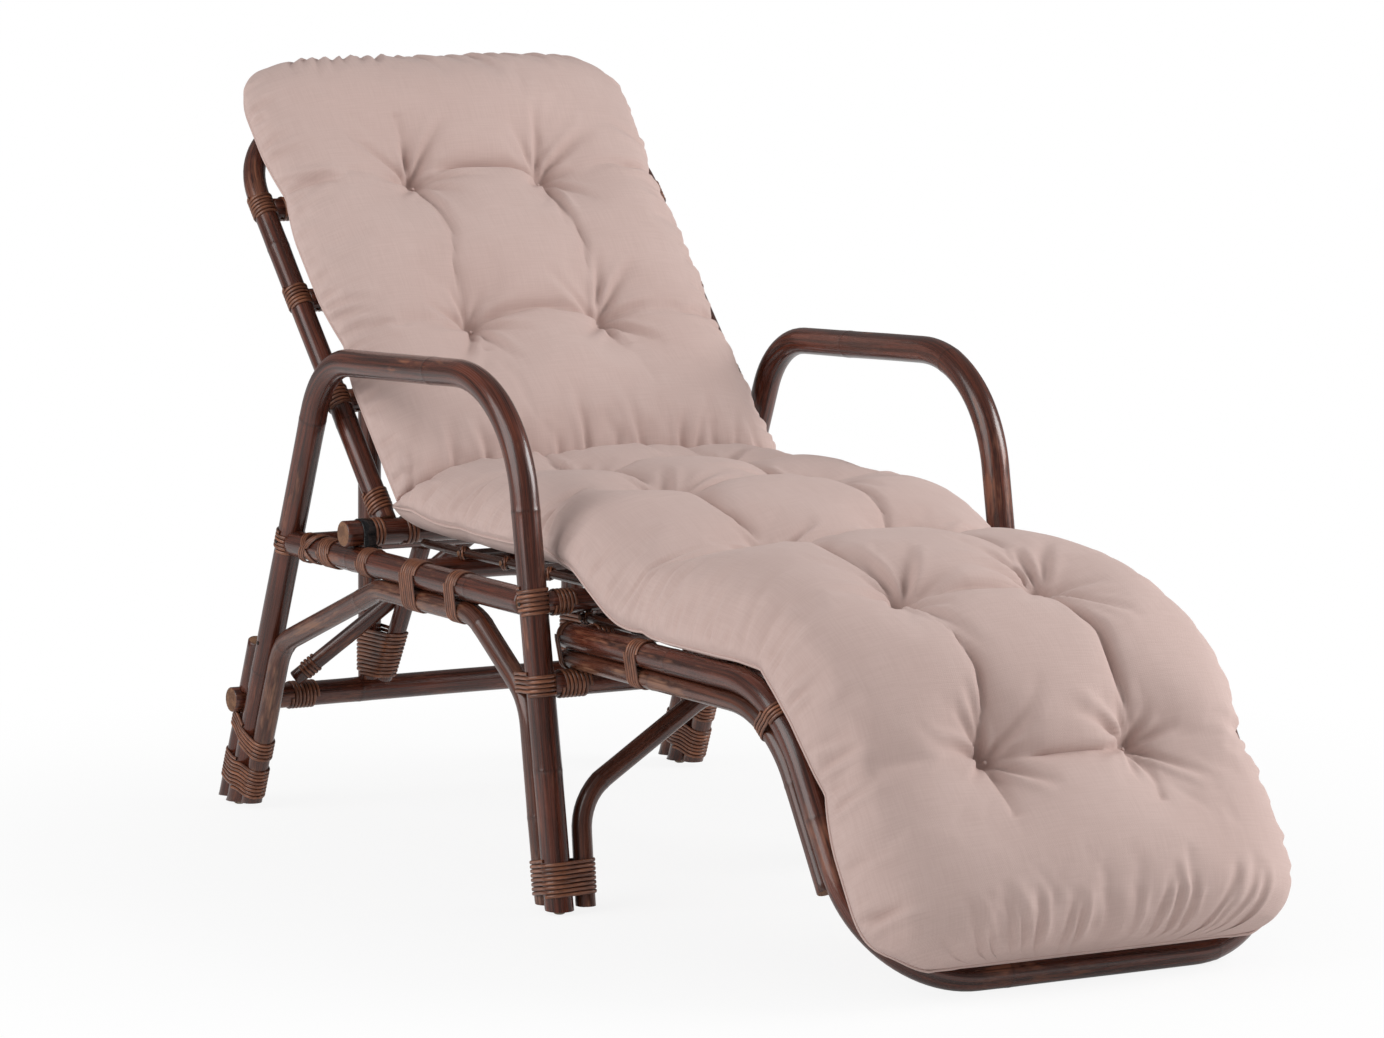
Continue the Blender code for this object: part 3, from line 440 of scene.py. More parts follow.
def effect(kind: Effect) -> bpy.types.NodeTree:
    """The node group of a shared effect, built on its first use.

    Args:
        kind: which effect.

    Returns:
        The group's node tree.
    """
    name = f"{kind.value}_effect"
    if name in bpy.data.node_groups:
        return bpy.data.node_groups[name]
    build, inputs, outputs = EFFECTS[kind]
    tree = bpy.data.node_groups.new(name, "ShaderNodeTree")
    for key, value in inputs.items():
        kind_of = "NodeSocketVector" if value is None else "NodeSocketFloat"
        socket = tree.interface.new_socket(key, in_out="INPUT", socket_type=kind_of)
        if value is not None:
            socket.default_value = value
    for key in outputs:
        tree.interface.new_socket(key, in_out="OUTPUT", socket_type="NodeSocketFloat")
    graph = Graph(tree)
    build(graph, graph.add("NodeGroupInput").outputs, graph.add("NodeGroupOutput"))
    return tree


# Finishes

Colour = tuple[float, float, float]


def start_material(name: str) -> tuple[bpy.types.Material, Graph, bpy.types.Node]:
    """A new node material with its graph and its Principled shader.

    Args:
        name: the material's name.

    Returns:
        The material, its graph and its shader.
    """
    material = bpy.data.materials.new(name)
    material.use_nodes = True
    return material, Graph(material.node_tree), material.node_tree.nodes["Principled BSDF"]


@dataclass(frozen=True)
class Finish:
    """What every finish shares: a name, a slot, and a material that is built once."""

    name: str
    slot: str = field(default="rattan", kw_only=True)

    def build(self) -> bpy.types.Material:
        """The material, built on its first use."""
        if self.name not in bpy.data.materials:
            _, graph, shader = start_material(self.name)
            self.dress(graph, shader, graph.attribute("grain", "Vector"))
        return bpy.data.materials[self.name]

    def dress(self, graph: Graph, shader: bpy.types.Node, vector: object) -> None:
        """Joins the finish to its shader; vector is the place on the straightened material."""
        raise NotImplementedError


@dataclass(frozen=True)
class PoleFinish(Finish):
    """Stained, varnished rattan with streaks along the pole and paler worn places."""

    dark: Colour
    warm: Colour
    worn: Colour
    wear_low: float = 0.56
    wear_high: float = 0.74
    roughness: float = 0.24
    coat: float = 0.45

    def dress(self, graph: Graph, shader: bpy.types.Node, vector: object) -> None:
        """Streaks, worn places and knuckle rings under varnish.

        Args:
            graph: the material's graph.
            shader: its Principled node.
            vector: place on the straightened material.
        """
        knuckle = graph.attribute("knuckle", "Fac")
        grain = graph.group(Effect.GRAIN, {"Vector": vector, "Scale": 260.0}).outputs
        stretched = graph.scaled(vector, (1, 1, 0.22))
        places = {"Vector": stretched, "Scale": 34.0, "Low": self.wear_low, "High": self.wear_high}
        wear = graph.group(Effect.PATINA, places).outputs["Mask"]
        shade = {"Vector": vector, "Scale": 9.0, "Low": 0.30, "High": 0.70}
        patches = graph.group(Effect.PATINA, shade).outputs["Mask"]
        stain = graph.mix(grain["Broad"], (*self.dark, 1), (*self.warm, 1))
        deeper = graph.mix(patches, stain, (*self.dark, 1))
        stain = graph.mix(0.45, stain, deeper)
        rubbed = graph.math("MULTIPLY", wear, graph.plus(0.35, grain["Thin"]), True)
        rubbed = graph.times(rubbed, 0.8)
        stain = graph.mix(rubbed, stain, (*self.worn, 1))
        ring = graph.between(knuckle, 0.15, 0.9)
        stain = graph.mix(graph.times(ring, 0.45), stain, (*self.dark, 1))
        graph.put(shader.inputs["Base Color"], stain)
        shine = graph.plus(self.roughness, graph.times(rubbed, 0.30))
        shine = graph.plus(shine, graph.times(grain["Thin"], 0.08))
        graph.put(shader.inputs["Roughness"], shine)
        shader.inputs["Coat Weight"].default_value = self.coat
        shader.inputs["Coat Roughness"].default_value = 0.10
        graph.put(shader.inputs["Normal"], graph.bump(grain["Height"], 0.30, 0.0006))


@dataclass(frozen=True)
class EndFinish(Finish):
    """Sawn end of a pole: pale pith with dark pores."""

    name: str = "sawn_end"
    pith: Colour = (0.300, 0.150, 0.080)
    pores: Colour = (0.085, 0.035, 0.020)

    def dress(self, graph: Graph, shader: bpy.types.Node, vector: object) -> None:
        """Pores in the pith.

        Args:
            graph: the material's graph.
            shader: its Principled node.
            vector: place on the straightened material.
        """
        pores = graph.noise(vector, 1700.0, 2, 0.7)
        stain = graph.group(Effect.PATINA, {"Vector": vector, "Scale": 90.0}).outputs["Mask"]
        dots = graph.between(pores, 0.50, 0.60)
        colour = graph.mix(graph.times(dots, 0.8), (*self.pith, 1), (*self.pores, 1))
        colour = graph.mix(graph.times(stain, 0.6), colour, (*self.pores, 1))
        graph.put(shader.inputs["Base Color"], colour)
        shader.inputs["Roughness"].default_value = 0.75
        graph.put(shader.inputs["Normal"], graph.bump(pores, 0.4, 0.0005))


@dataclass(frozen=True)
class CaneFinish(Finish):
    """Split cane strip: fibres along it, darker edges, a satin skin."""

    name: str = "split_cane"
    dark: Colour = (0.062, 0.018, 0.009)
    warm: Colour = (0.400, 0.150, 0.072)
    slot: str = field(default="cane", kw_only=True)

    def dress(self, graph: Graph, shader: bpy.types.Node, vector: object) -> None:
        """Fibres, faded places and darker edges.

        Args:
            graph: the material's graph.
            shader: its Principled node.
            vector: place on the straightened material.
        """
        edge = graph.attribute("knuckle", "Fac")
        grain = graph.group(Effect.GRAIN, {"Vector": vector, "Scale": 700.0}).outputs
        stretched = graph.scaled(vector, (1, 1, 0.5))
        places = {"Vector": stretched, "Scale": 55.0, "Low": 0.36, "High": 0.66}
        fade = graph.group(Effect.PATINA, places).outputs["Mask"]
        tone = graph.times(graph.plus(grain["Broad"], fade), 0.5)
        colour = graph.mix(tone, (*self.dark, 1), (*self.warm, 1))
        colour = graph.mix(graph.times(edge, 0.9), colour, (*self.dark, 1))
        graph.put(shader.inputs["Base Color"], colour)
        rough = graph.plus(0.28, graph.times(grain["Thin"], 0.16))
        graph.put(shader.inputs["Roughness"], rough)
        shader.inputs["Coat Weight"].default_value = 0.25
        shader.inputs["Coat Roughness"].default_value = 0.2
        graph.put(shader.inputs["Normal"], graph.bump(grain["Height"], 0.35, 0.0004))


@dataclass(frozen=True)
class ClothFinish(Finish):
    """Cotton canvas in a plain weave, a little faded in soft patches."""

    name: str = "rose_canvas"
    ground: Colour = (0.595, 0.442, 0.402)
    # deep is darker canvas: the slubs' own tone, and painted shade in folds and weave hollows.
    deep: Colour = (0.460, 0.315, 0.277)
    pale: Colour = (0.640, 0.493, 0.453)
    threads: float = 800.0
    slot: str = field(default="canvas", kw_only=True)

    def dress(self, graph: Graph, shader: bpy.types.Node, vector: object) -> None:
        """Weave, slubs, and painted shade in the folds and in the weave's hollows.

        Args:
            graph: the material's graph.
            shader: its Principled node.
            vector: place on the straightened material.
        """
        # The fold mask from the pad's creases, used for painted shade in the folds.
        crease_shade = graph.attribute("knuckle", "Fac")
        weave = graph.group(Effect.WEAVE, {"Vector": vector, "Threads": self.threads}).outputs
        places = {"Vector": vector, "Scale": 5.5, "Low": 0.34, "High": 0.70}
        fade = graph.group(Effect.PATINA, places).outputs["Mask"]
        colour = graph.mix(graph.times(fade, 0.40), (*self.ground, 1), (*self.pale, 1))
        slub = graph.between(weave["Slub"], 0.40, 0.62)
        colour = graph.mix(graph.times(slub, 0.22), colour, (*self.deep, 1))
        # Painted shade: the weave's low places, between the raised threads, drawn darker.
        dip = graph.math("SUBTRACT", 1.0, weave["Height"], True)
        colour = graph.mix(graph.times(dip, 0.16), colour, (*self.deep, 1))
        # Painted shade: the canvas drawn darker in its folds.
        colour = graph.mix(graph.times(crease_shade, 0.45), colour, (*self.deep, 1))
        graph.put(shader.inputs["Base Color"], colour)
        shader.inputs["Roughness"].default_value = 0.92
        shader.inputs["Sheen Weight"].default_value = 0.08
        shader.inputs["Sheen Roughness"].default_value = 0.5
        height = graph.plus(weave["Height"], weave["Slub"])
        graph.put(shader.inputs["Normal"], graph.bump(height, 0.35, 0.0004))


@dataclass(frozen=True)
class PlainFinish(Finish):
    """A small fitting in one colour, with soft patches of wear."""

    colour: Colour
    worn: Colour
    roughness: float
    metallic: float = 0.0
    slot: str = field(default="strap", kw_only=True)

    def dress(self, graph: Graph, shader: bpy.types.Node, vector: object) -> None:
        """Soft patches of wear.

        Args:
            graph: the material's graph.
            shader: its Principled node.
            vector: place on the straightened material.
        """
        places = {"Vector": vector, "Scale": 160.0, "Low": 0.5, "High": 0.75}
        wear = graph.group(Effect.PATINA, places).outputs["Mask"]
        share = graph.times(wear, 0.5)
        graph.put(shader.inputs["Base Color"], graph.mix(share, (*self.colour, 1), (*self.worn, 1)))
        rough = graph.plus(self.roughness, graph.times(wear, 0.2))
        graph.put(shader.inputs["Roughness"], rough)
        shader.inputs["Metallic"].default_value = self.metallic
        graph.put(shader.inputs["Normal"], graph.bump(wear, 0.15, 0.0003))


STAINED = PoleFinish(
    "stained_rattan", (0.034, 0.008, 0.004), (0.150, 0.036, 0.018), (0.290, 0.105, 0.052)
)
ARCHED = PoleFinish(
    "arch_rattan", (0.046, 0.013, 0.007), (0.155, 0.048, 0.026), (0.300, 0.140, 0.078)
)
SLATTED = PoleFinish(
    "slat_rattan",
    (0.020, 0.007, 0.004),
    (0.066, 0.020, 0.011),
    (0.150, 0.066, 0.038),
    wear_low=0.62,
)
SAWN = EndFinish()
CANE = CaneFinish()
CANVAS = ClothFinish()
STRAP = PlainFinish("strap_gloss", (0.010, 0.010, 0.011), (0.030, 0.030, 0.032), 0.18)
GLIDE = PlainFinish("glide_nylon", (0.500, 0.400, 0.310), (0.330, 0.250, 0.190), 0.45, slot="glide")
NAIL = PlainFinish("nail_steel", (0.050, 0.046, 0.044), (0.110, 0.080, 0.060), 0.42, 0.9)


# Meshes


def placed(name: str, data: bpy.types.ID) -> bpy.types.Object:
    """A new object in the scene, with the given data.

    Args:
        name: the object's name.
        data: its mesh, lamp or camera.

    Returns:
        The new object.
    """
    made = bpy.data.objects.new(name, data)
    bpy.context.scene.collection.objects.link(made)
    return made


class Shape:
    """Points, faces and surface values of one piece while it is being made.

    grain holds a place on the straightened material for every point, and knuckle a mask:
    node rings on a pole, edges on a strip, and folds on cloth, painted darker there as shade.
    """

    def __init__(self) -> None:
        """Starts with nothing."""
        self.points: list[Vector] = []
        self.faces: list[tuple[int, ...]] = []
        self.slots: list[int] = []
        self.grain: list[Vector] = []
        self.knuckle: list[float] = []

    def add(self, point: Vector, grain: Vector, knuckle: float = 0.0) -> None:
        """Adds one point with its surface values.

        Args:
            point: its place.
            grain: its place on the straightened material.
            knuckle: its mask.
        """
        self.points.append(point)
        self.grain.append(grain)
        self.knuckle.append(knuckle)

    def face(self, corners: Sequence[int], slot: int = 0) -> None:
        """Adds one face, in a material slot."""
        self.faces.append(tuple(corners))
        self.slots.append(slot)

    def bridge(self, first: int, rings: int, sides: int) -> None:
        """Joins rings of points, laid one after another, with quads.

        Args:
            first: number of the first ring's first point.
            rings: how many rings there are.
            sides: points in each ring.
        """
        for ring in range(rings - 1):
            base = first + ring * sides
            for side in range(sides):
                onward = (side + 1) % sides
                self.face((base + side, base + onward, base + onward + sides, base + side + sides))

    def tube(self, first: int, rings: int, sides: int, end_slot: int = 0) -> None:
        """Joins rings of points into a tube and closes both its ends.

        Args:
            first: number of the first ring's first point.
            rings: how many rings there are.
            sides: points in each ring.
            end_slot: material slot of the two ends.
        """
        self.bridge(first, rings, sides)
        self.face(range(first + sides - 1, first - 1, -1), end_slot)
        last = first + (rings - 1) * sides
        self.face(range(last, last + sides), end_slot)

    def mesh(self, name: str, place: Matrix) -> bpy.types.Mesh:
        """The bare mesh, with its faces turned outwards.

        Args:
            name: the mesh's name.
            place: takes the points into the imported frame.

        Returns:
            The new mesh.
        """
        mesh = bpy.data.meshes.new(name)
        mesh.from_pydata([place @ p for p in self.points], [], self.faces)
        turned = bmesh.new()
        turned.from_mesh(mesh)
        bmesh.ops.recalc_face_normals(turned, faces=turned.faces)
        turned.to_mesh(mesh)
        turned.free()
        return mesh

    def make(self, name: str, finishes: Sequence[Finish], place: Matrix) -> bpy.types.Object:
        """Turns the shape into an object in the scene.

        Args:
            name: the piece's name.
            finishes: one finish for each material slot.
            place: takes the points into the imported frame.

        Returns:
            The new object.
        """
        mesh = self.mesh(name, place)
        grain = mesh.attributes.new("grain", "FLOAT_VECTOR", "POINT")
        grain.data.foreach_set("vector", [c for g in self.grain for c in g])
        mesh.attributes.new("knuckle", "FLOAT", "POINT").data.foreach_set("value", self.knuckle)
        mesh.polygons.foreach_set("material_index", self.slots)
        for finish in finishes:
            mesh.materials.append(finish.build())
        mesh.update()
        mesh.validate()
        mesh.shade_smooth()
        mesh.set_sharp_from_angle(angle=SHARP_ANGLE)
        piece = placed(name, mesh)
        return piece


def settle(piece: bpy.types.Object, body: Body, nodes: Sequence[str] = ()) -> bpy.types.Object:
    """Makes a piece ride on its body and stand for its nodes, and reports it.

    Args:
        piece: the piece.
        body: the body that it rides on.
        nodes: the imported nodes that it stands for.

    Returns:
        The same piece.
    """
    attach(piece, body.value)
    if nodes:
        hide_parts(*nodes)
    LOG.info("%s: %d faces on %s", piece.name, len(piece.data.polygons), body.value)
    return piece


@dataclass
class Pole:
    """One round rattan pole along a route.

    knuckles are rings about a span apart, and floor_z flattens the ends of a leg.
    """

    route: Sequence[Vector]
    radius: float
    seed: str
    sides: int = 22
    step: float = 0.009
    span: float = 0.27
    floor_z: float | None = None
    wander: float = 0.00035
    bevel: float = 0.0009

    def rings(self) -> list[tuple[float, float, float]]:
        """Stations as (distance, radius, knuckle mask), knuckles and end bevels included.

        Returns:
            The stations, from end to end.
        """
        total = lengths(self.route)[-1]
        random = Random(zlib.crc32(self.seed.encode()))
        self.offset = random.uniform(0, 40)
        nodes = []
        place = random.uniform(0.25, 0.9) * self.span
        while place < total - 0.02:
            if place > 0.02:
                nodes.append(place)
            place += self.span * random.uniform(0.75, 1.3)
        spots = {0.0, self.bevel, total - self.bevel, total}
        count = max(2, round(total / self.step))
        for index in range(1, count):
            spot = total * index / count
            if min((abs(spot - n) for n in nodes), default=1) > 0.010:
                spots.add(spot)
        beside = (-0.008, -0.004, -0.002, -0.0006, 0.0006, 0.002, 0.004, 0.008)
        for node in nodes:
            spots |= {node + d for d in beside}
        made = []
        for spot in sorted(s for s in spots if 0 <= s <= total):
            off = min((abs(spot - n) for n in nodes), default=1)
            ridge = exp(-((off / 0.0022) ** 2))
            swell = exp(-((off / 0.012) ** 2))
            radius = self.radius * (1 + 0.012 * noise.noise(Vector((spot * 9, self.offset, 0))))
            radius += 0.0002 * swell + 0.00025 * ridge
            if spot < self.bevel / 2 or spot > total - self.bevel / 2:
                radius -= self.bevel
            made.append((spot, radius, ridge))
        return made

    def into(self, shape: Shape) -> None:
        """Adds the pole to a shape.

        Args:
            shape: the shape that it goes into.
        """
        run = lengths(self.route)
        rings = self.rings()
        first = len(shape.points)
        across = ACROSS
        if abs((self.route[1] - self.route[0]).normalized().x) > 0.8:
            across = UP
        for spot, radius, ridge in rings:
            centre = at_length(self.route, run, spot)
            ahead = at_length(self.route, run, min(spot + 0.004, run[-1]))
            behind = at_length(self.route, run, max(spot - 0.004, 0))
            tangent = (ahead - behind).normalized()
            across = (across - tangent * across.dot(tangent)).normalized()
            upward = tangent.cross(across)
            drift = Vector((spot * 5, self.offset, 3))
            sway = across * noise.noise(drift) + upward * noise.noise(drift * 1.7)
            centre = centre + sway * self.wander
            for side in range(self.sides):
                angle = 2 * pi * side / self.sides
                arm = across * cos(angle) + upward * sin(angle)
                point = centre + arm * radius
                if self.floor_z is not None:
                    point.z = max(point.z, self.floor_z)
                skin = Vector((radius * cos(angle), radius * sin(angle), spot + self.offset))
                shape.add(point, skin, ridge)
        shape.tube(first, len(rings), self.sides, 1)


def rattan(
    node: str,
    route: Sequence[Vector],
    radius: float,
    body: Body,
    place: Matrix = TO_FRAME,
    finish: PoleFinish = STAINED,
    **settings: float,
) -> bpy.types.Object:
    """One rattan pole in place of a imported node.

    Args:
        node: the node that it stands for.
        route: points along its middle.
        radius: its radius.
        body: the body that it rides on.
        place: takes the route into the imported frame.
        finish: its stain.
        settings: further sizes of the Pole.

    Returns:
        The finished piece.
    """
    shape = Shape()
    Pole([Vector(p) for p in route], radius, node, **settings).into(shape)
    return settle(shape.make(f"rattan_{node}", (finish, SAWN), place), body, (node,))


# Cane bindings


# Section of a strip: across from -1 to 1, and height from the poles up to 1
STRIP_PROFILE = (
    (-1, 0.0), (-0.94, 0.42), (-0.62, 0.84), (0, 1.0), (0.62, 0.84), (0.94, 0.42), (1, 0.0)
)


@dataclass(frozen=True)
class Held:
    """One pole of a bundle that a binding holds together."""

    point: Vector
    way: Vector
    radius: float


def hull(points: Sequence[Point]) -> list[int]:
    """Numbers of the points on the convex outline, in order round it.

    Args:
        points: flat points.

    Returns:
        The outline's points by number.
    """
    order = sorted(range(len(points)), key=lambda i: points[i])

    def half(numbers: Sequence[int]) -> list[int]:
        """One side of the outline.

        Args:
            numbers: the points by number, in order.

        Returns:
            The numbers on this side, without the last.
        """
        chain: list[int] = []
        for number in numbers:
            while len(chain) > 1:
                (ax, ay), (bx, by) = points[chain[-2]], points[chain[-1]]
                cx, cy = points[number]
                if (bx - ax) * (cy - ay) - (by - ay) * (cx - ax) > 1e-12:
                    break
                chain.pop()
            chain.append(number)
        return chain[:-1]

    return half(order) + half(order[::-1])


@dataclass
class Binding:
    """A cane strip wound round a bundle of poles, turn by turn.

    level is measured from origin along the axis. slant leans the turns, to reach furthest
    at the side that leaning names, and lift lays a binding over another one.
    """

    held: Sequence[Held]
    origin: Vector
    axis: Vector
    start: float
    turns: int
    seed: str
    slant: float = 0.0
    leaning: Vector = field(default_factory=lambda: UP)
    lift: float = 0.0
    width: float = 0.0043
    thick: float = 0.0018
    pitch: float = 0.0049
    corners: int = 24

    def spot(self, level: float, key: tuple[int, int], extra: float) -> Vector:
        """A point of the outline, at a level and a height over the poles.

        Args:
            level: distance along the axis.
            key: the pole's number, and the corner's number round it.
            extra: height over the poles.

        Returns:
            The point.
        """
        pole = self.held[key[0]]
        share = (level - (pole.point - self.origin).dot(self.along)) / pole.way.dot(self.along)
        lean = abs(pole.way.normalized().dot(self.along))
        angle = 2 * pi * (key[1] + 0.5) / self.corners
        arm = self.first * cos(angle) + self.second * sin(angle)
        return pole.point + pole.way * share + arm * (pole.radius / lean + GAP + self.lift + extra)

    def outline(self, level: float) -> list[tuple[tuple[int, int], tuple[int, int], float]]:
        """Steps round the bundle: between two places on it, and how far along.

        Args:
            level: distance along the axis.

        Returns:
            Each step's two places, and its share of the way between them.
        """
        keys = [(i, side) for i in range(len(self.held)) for side in range(self.corners)]
        flat = [self.spot(level, key, 0) - self.origin for key in keys]
        ring = [keys[i] for i in hull([(p.dot(self.first), p.dot(self.second)) for p in flat])]
        steps = []
        for a, b in zip(ring, ring[1:] + ring[:1]):
            gap = (self.spot(level, b, 0) - self.spot(level, a, 0)).length
            pieces = max(1, round(gap / 0.006))
            steps += [(a, b, piece / pieces) for piece in range(pieces)]
        return steps

    def into(self, shape: Shape) -> None:
        """Adds the strip to a shape.

        Args:
            shape: the shape that it goes into.
        """
        self.along = self.axis.normalized()
        side = ACROSS if abs(self.along.x) < 0.8 else BACKWARD
        self.first = (side - self.along * side.dot(self.along)).normalized()
        self.second = self.along.cross(self.first)
        random = Random(zlib.crc32(self.seed.encode()))
        middle = self.start + self.turns * self.pitch / 2
        steps = self.outline(middle)
        around = [self.spot(middle, a, 0).lerp(self.spot(middle, b, 0), t) for a, b, t in steps]
        centre = sum(around, Vector()) / len(around)
        lean = self.leaning - self.along * self.leaning.dot(self.along)
        leans = [(p - centre).normalized().dot(lean.normalized()) for p in around]
        drift = [random.uniform(-0.00022, 0.00022) for _ in range(self.turns + 2)]
        shift = random.uniform(0, 20)
        half = self.width / 2
        first = len(shape.points)
        count = len(steps)
        total = self.turns * count + 1
        for number in range(total):
            turn, index = divmod(number, count)
            a, b, t = steps[index]
            share = index / count
            wander = drift[turn] * (1 - share) + drift[turn + 1] * share
            wound = self.start + half + (turn + share) * self.pitch
            level = wound + wander + self.slant * leans[index]
            for across, height in STRIP_PROFILE:
                at, rise = level + across * half, height * self.thick
                point = self.spot(at, a, rise).lerp(self.spot(at, b, rise), t)
                run = shift + number * 0.0045
                shape.add(point, Vector((across * half, 0, run)), abs(across) ** 3)
        shape.tube(first, total, len(STRIP_PROFILE))


def bind(
    name: str,
    bindings: Sequence[Binding],
    body: Body,
    nodes: Sequence[str] = (),
    place: Matrix = TO_FRAME,
) -> bpy.types.Object:
    """One piece out of one or more windings that lie on the same joint.

    Args:
        name: the piece's name.
        bindings: its windings.
        body: the body that it rides on.
        nodes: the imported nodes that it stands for.
        place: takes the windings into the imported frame.

    Returns:
        The finished piece.
    """
    shape = Shape()
    for binding in bindings:
        binding.into(shape)
    return settle(shape.make(f"bound_{name}", (CANE,), place), body, nodes)


def dome(name: str, centre: Vector, normal: Vector, radius: float) -> None:
    """A nail's small round head on a pole of the base.

    Args:
        name: the piece's name.
        centre: where it stands.
        normal: the way that it faces.
        radius: its radius.
    """
    shape = Shape()
    across = normal.orthogonal().normalized()
    upward = normal.cross(across)
    profile = ((1.0, -0.25), (1.0, 0.0), (0.92, 0.22), (0.68, 0.42), (0.35, 0.53))
    sides = 14
    for wide, high in profile:
        for side in range(sides):
            angle = 2 * pi * side / sides
            arm = (across * cos(angle) + upward * sin(angle)) * wide + normal * high
            shape.add(centre + arm * radius, arm * radius)
    shape.tube(0, len(profile), sides)
    settle(shape.make(name, (NAIL,), TO_FRAME), Body.BASE)


# Sub-assemblies of the base


@dataclass
class SideFrame:
    """Arm pole, rail, arch, leg pole, glides and strap of one side."""

    side: str
    arm_bends: Point = (0.10, 0.15)
    arch_r: float = 0.0125
    arch_knees: Point = (0.2106, 0.2273)
    arch_shoulders: Point = (0.093, -0.135)
    arch_bends: tuple[float, ...] = (0.065, 0.070, 0.070, 0.065)
    leg_pole_r: float = 0.012
    stub: float = 0.066
    glide_r: float = 0.0075
    strap_x: float = 0.303
    strap_width: float = 0.016
    strap_thick: float = 0.0015
    strap_foot: float = 0.013
    nail_r: float = 0.0024

    @property
    def x(self) -> float:
        """Where this side stands."""
        return SIDES[self.side] * SIDE_X

    def arch_corners(self) -> list[Point]:
        """Side arch: up inside the rear leg, under the rail, down inside the front leg.

        Returns:
            The corners, from the rear foot to the front foot.
        """
        inset = ARM_R + self.arch_r + GAP
        rear, front = shifted(REAR_LEG, -inset), shifted(FRONT_LEG, inset)
        top = RAIL_Z - RAIL_R - self.arch_r - GAP
        return [
            line_point(*rear, SHORT_FOOT_Z - 0.006),
            line_point(*rear, self.arch_knees[0]),
            (self.arch_shoulders[0], top),
            (self.arch_shoulders[1], top),
            line_point(*front, self.arch_knees[1]),
            line_point(*front, SHORT_FOOT_Z - 0.004),
        ]

    def behind(self) -> Line:
        """Line of the short poles behind the rear leg."""
        return shifted(REAR_LEG, ARM_R + self.leg_pole_r + GAP)

    def poles(self) -> None:
        """The side's poles."""
        side, x = self.side, self.x
        rear_foot = line_point(*REAR_LEG, FOOT_Z - 0.008)
        front_foot = line_point(*FRONT_LEG, FOOT_Z - 0.004)
        corners = (rear_foot, ARM_REAR, ARM_FRONT, front_foot)
        arm = rounded([side_point(x, p) for p in corners], self.arm_bends)
        rattan(f"arm_pole_{side}", arm, ARM_R, Body.BASE, floor_z=FOOT_Z, sides=28)
        arch = rounded([side_point(x, p) for p in self.arch_corners()], self.arch_bends)
        rattan(
            f"side_arch_{side}", arch, self.arch_r, Body.BASE, finish=ARCHED, floor_z=SHORT_FOOT_Z
        )
        ends = [line_point(*leg, RAIL_Z)[0] for leg in (REAR_LEG, FRONT_LEG)]
        reach = ARM_R - 0.002
        rail = [Vector((x, ends[0] - reach, RAIL_Z)), Vector((x, ends[1] + reach, RAIL_Z))]
        rattan(f"seat_rail_{side}", rail, RAIL_R, Body.BASE, sides=26)
        middle = side_point(x, line_point(*self.behind(), REAR_STRETCHER_Z))
        foot = side_point(x, line_point(*self.behind(), SHORT_FOOT_Z - 0.005))
        below = middle - REAR_LEAN * (STRETCHER_R - 0.002)
        above = middle + REAR_LEAN * (STRETCHER_R - 0.002)
        top = middle + REAR_LEAN * (STRETCHER_R + self.stub)
        rattan(
            f"rear_leg_pole_{side}", (foot, below), self.leg_pole_r, Body.BASE, floor_z=SHORT_FOOT_Z
        )
        rattan(f"rear_leg_stub_{side}", (above, top), self.leg_pole_r, Body.BASE)

    def glides(self) -> None:
        """Turned nubs under the legs."""
        profile = ((0.0, 0.58), (0.0006, 0.74), (0.0018, 0.92), (0.0030, 1.0), (0.0043, 1.0))
        sides = 24
        for place, leg in (("rear", REAR_LEG), ("front", FRONT_LEG)):
            shape = Shape()
            for z, wide in profile:
                for number in range(sides):
                    angle = 2 * pi * number / sides
                    arm = Vector((cos(angle), sin(angle), 0)) * wide * self.glide_r
                    shape.add(Vector((self.x, leg[0][0], z)) + arm, arm + Vector((0, 0, z)))
            shape.tube(0, len(profile), sides)
            piece = shape.make(f"turned_glide_{place}_{self.side}", (GLIDE,), TO_FRAME)
            settle(piece, Body.BASE, (f"glide_{place}_{self.side}",))

    def strap(self) -> None:
        """Glossy saddle strap over the hinge pole, with rounded edges."""
        inner, foot_z = HINGE_R + GAP, RAIL_Z + RAIL_R + GAP
        outer = inner + self.strap_thick
        end, turn = outer + self.strap_foot, 0.003
        line = [(-end, foot_z), (-inner - turn, foot_z), (-inner, foot_z + turn)]
        arc = [pi - pi * k / 20 for k in range(21)]
        line += [(inner * cos(a), HINGE_Z + inner * sin(a)) for a in arc]
        line += [(inner, foot_z + turn), (inner + turn, foot_z), (end, foot_z)]
        half, edge, thick = self.strap_width / 2, 0.0005, self.strap_thick
        flat, high = half - edge, thick - edge
        section = ((-half, edge), (-flat, 0), (flat, 0), (half, edge))
        section += ((half, high), (flat, thick), (-flat, thick), (-half, high))
        shape = Shape()
        x = SIDES[self.side] * self.strap_x
        run = 0.0
        for index, (y, z) in enumerate(line):
            before, after = line[max(index - 1, 0)], line[min(index + 1, len(line) - 1)]
            ty, tz = after[0] - before[0], after[1] - before[1]
            size = hypot(ty, tz)
            normal = Vector((0, -tz / size, ty / size))
            run += hypot(y - before[0], z - before[1])
            for across, rise in section:
                point = Vector((x + across, HINGE_Y + y, z)) + normal * rise
                shape.add(point, Vector((across, rise, run)))
        shape.tube(0, len(line), len(section))
        piece = shape.make(f"saddle_strap_{self.side}", (STRAP,), TO_FRAME)
        settle(piece, Body.BASE, (f"hinge_strap_{self.side}",))

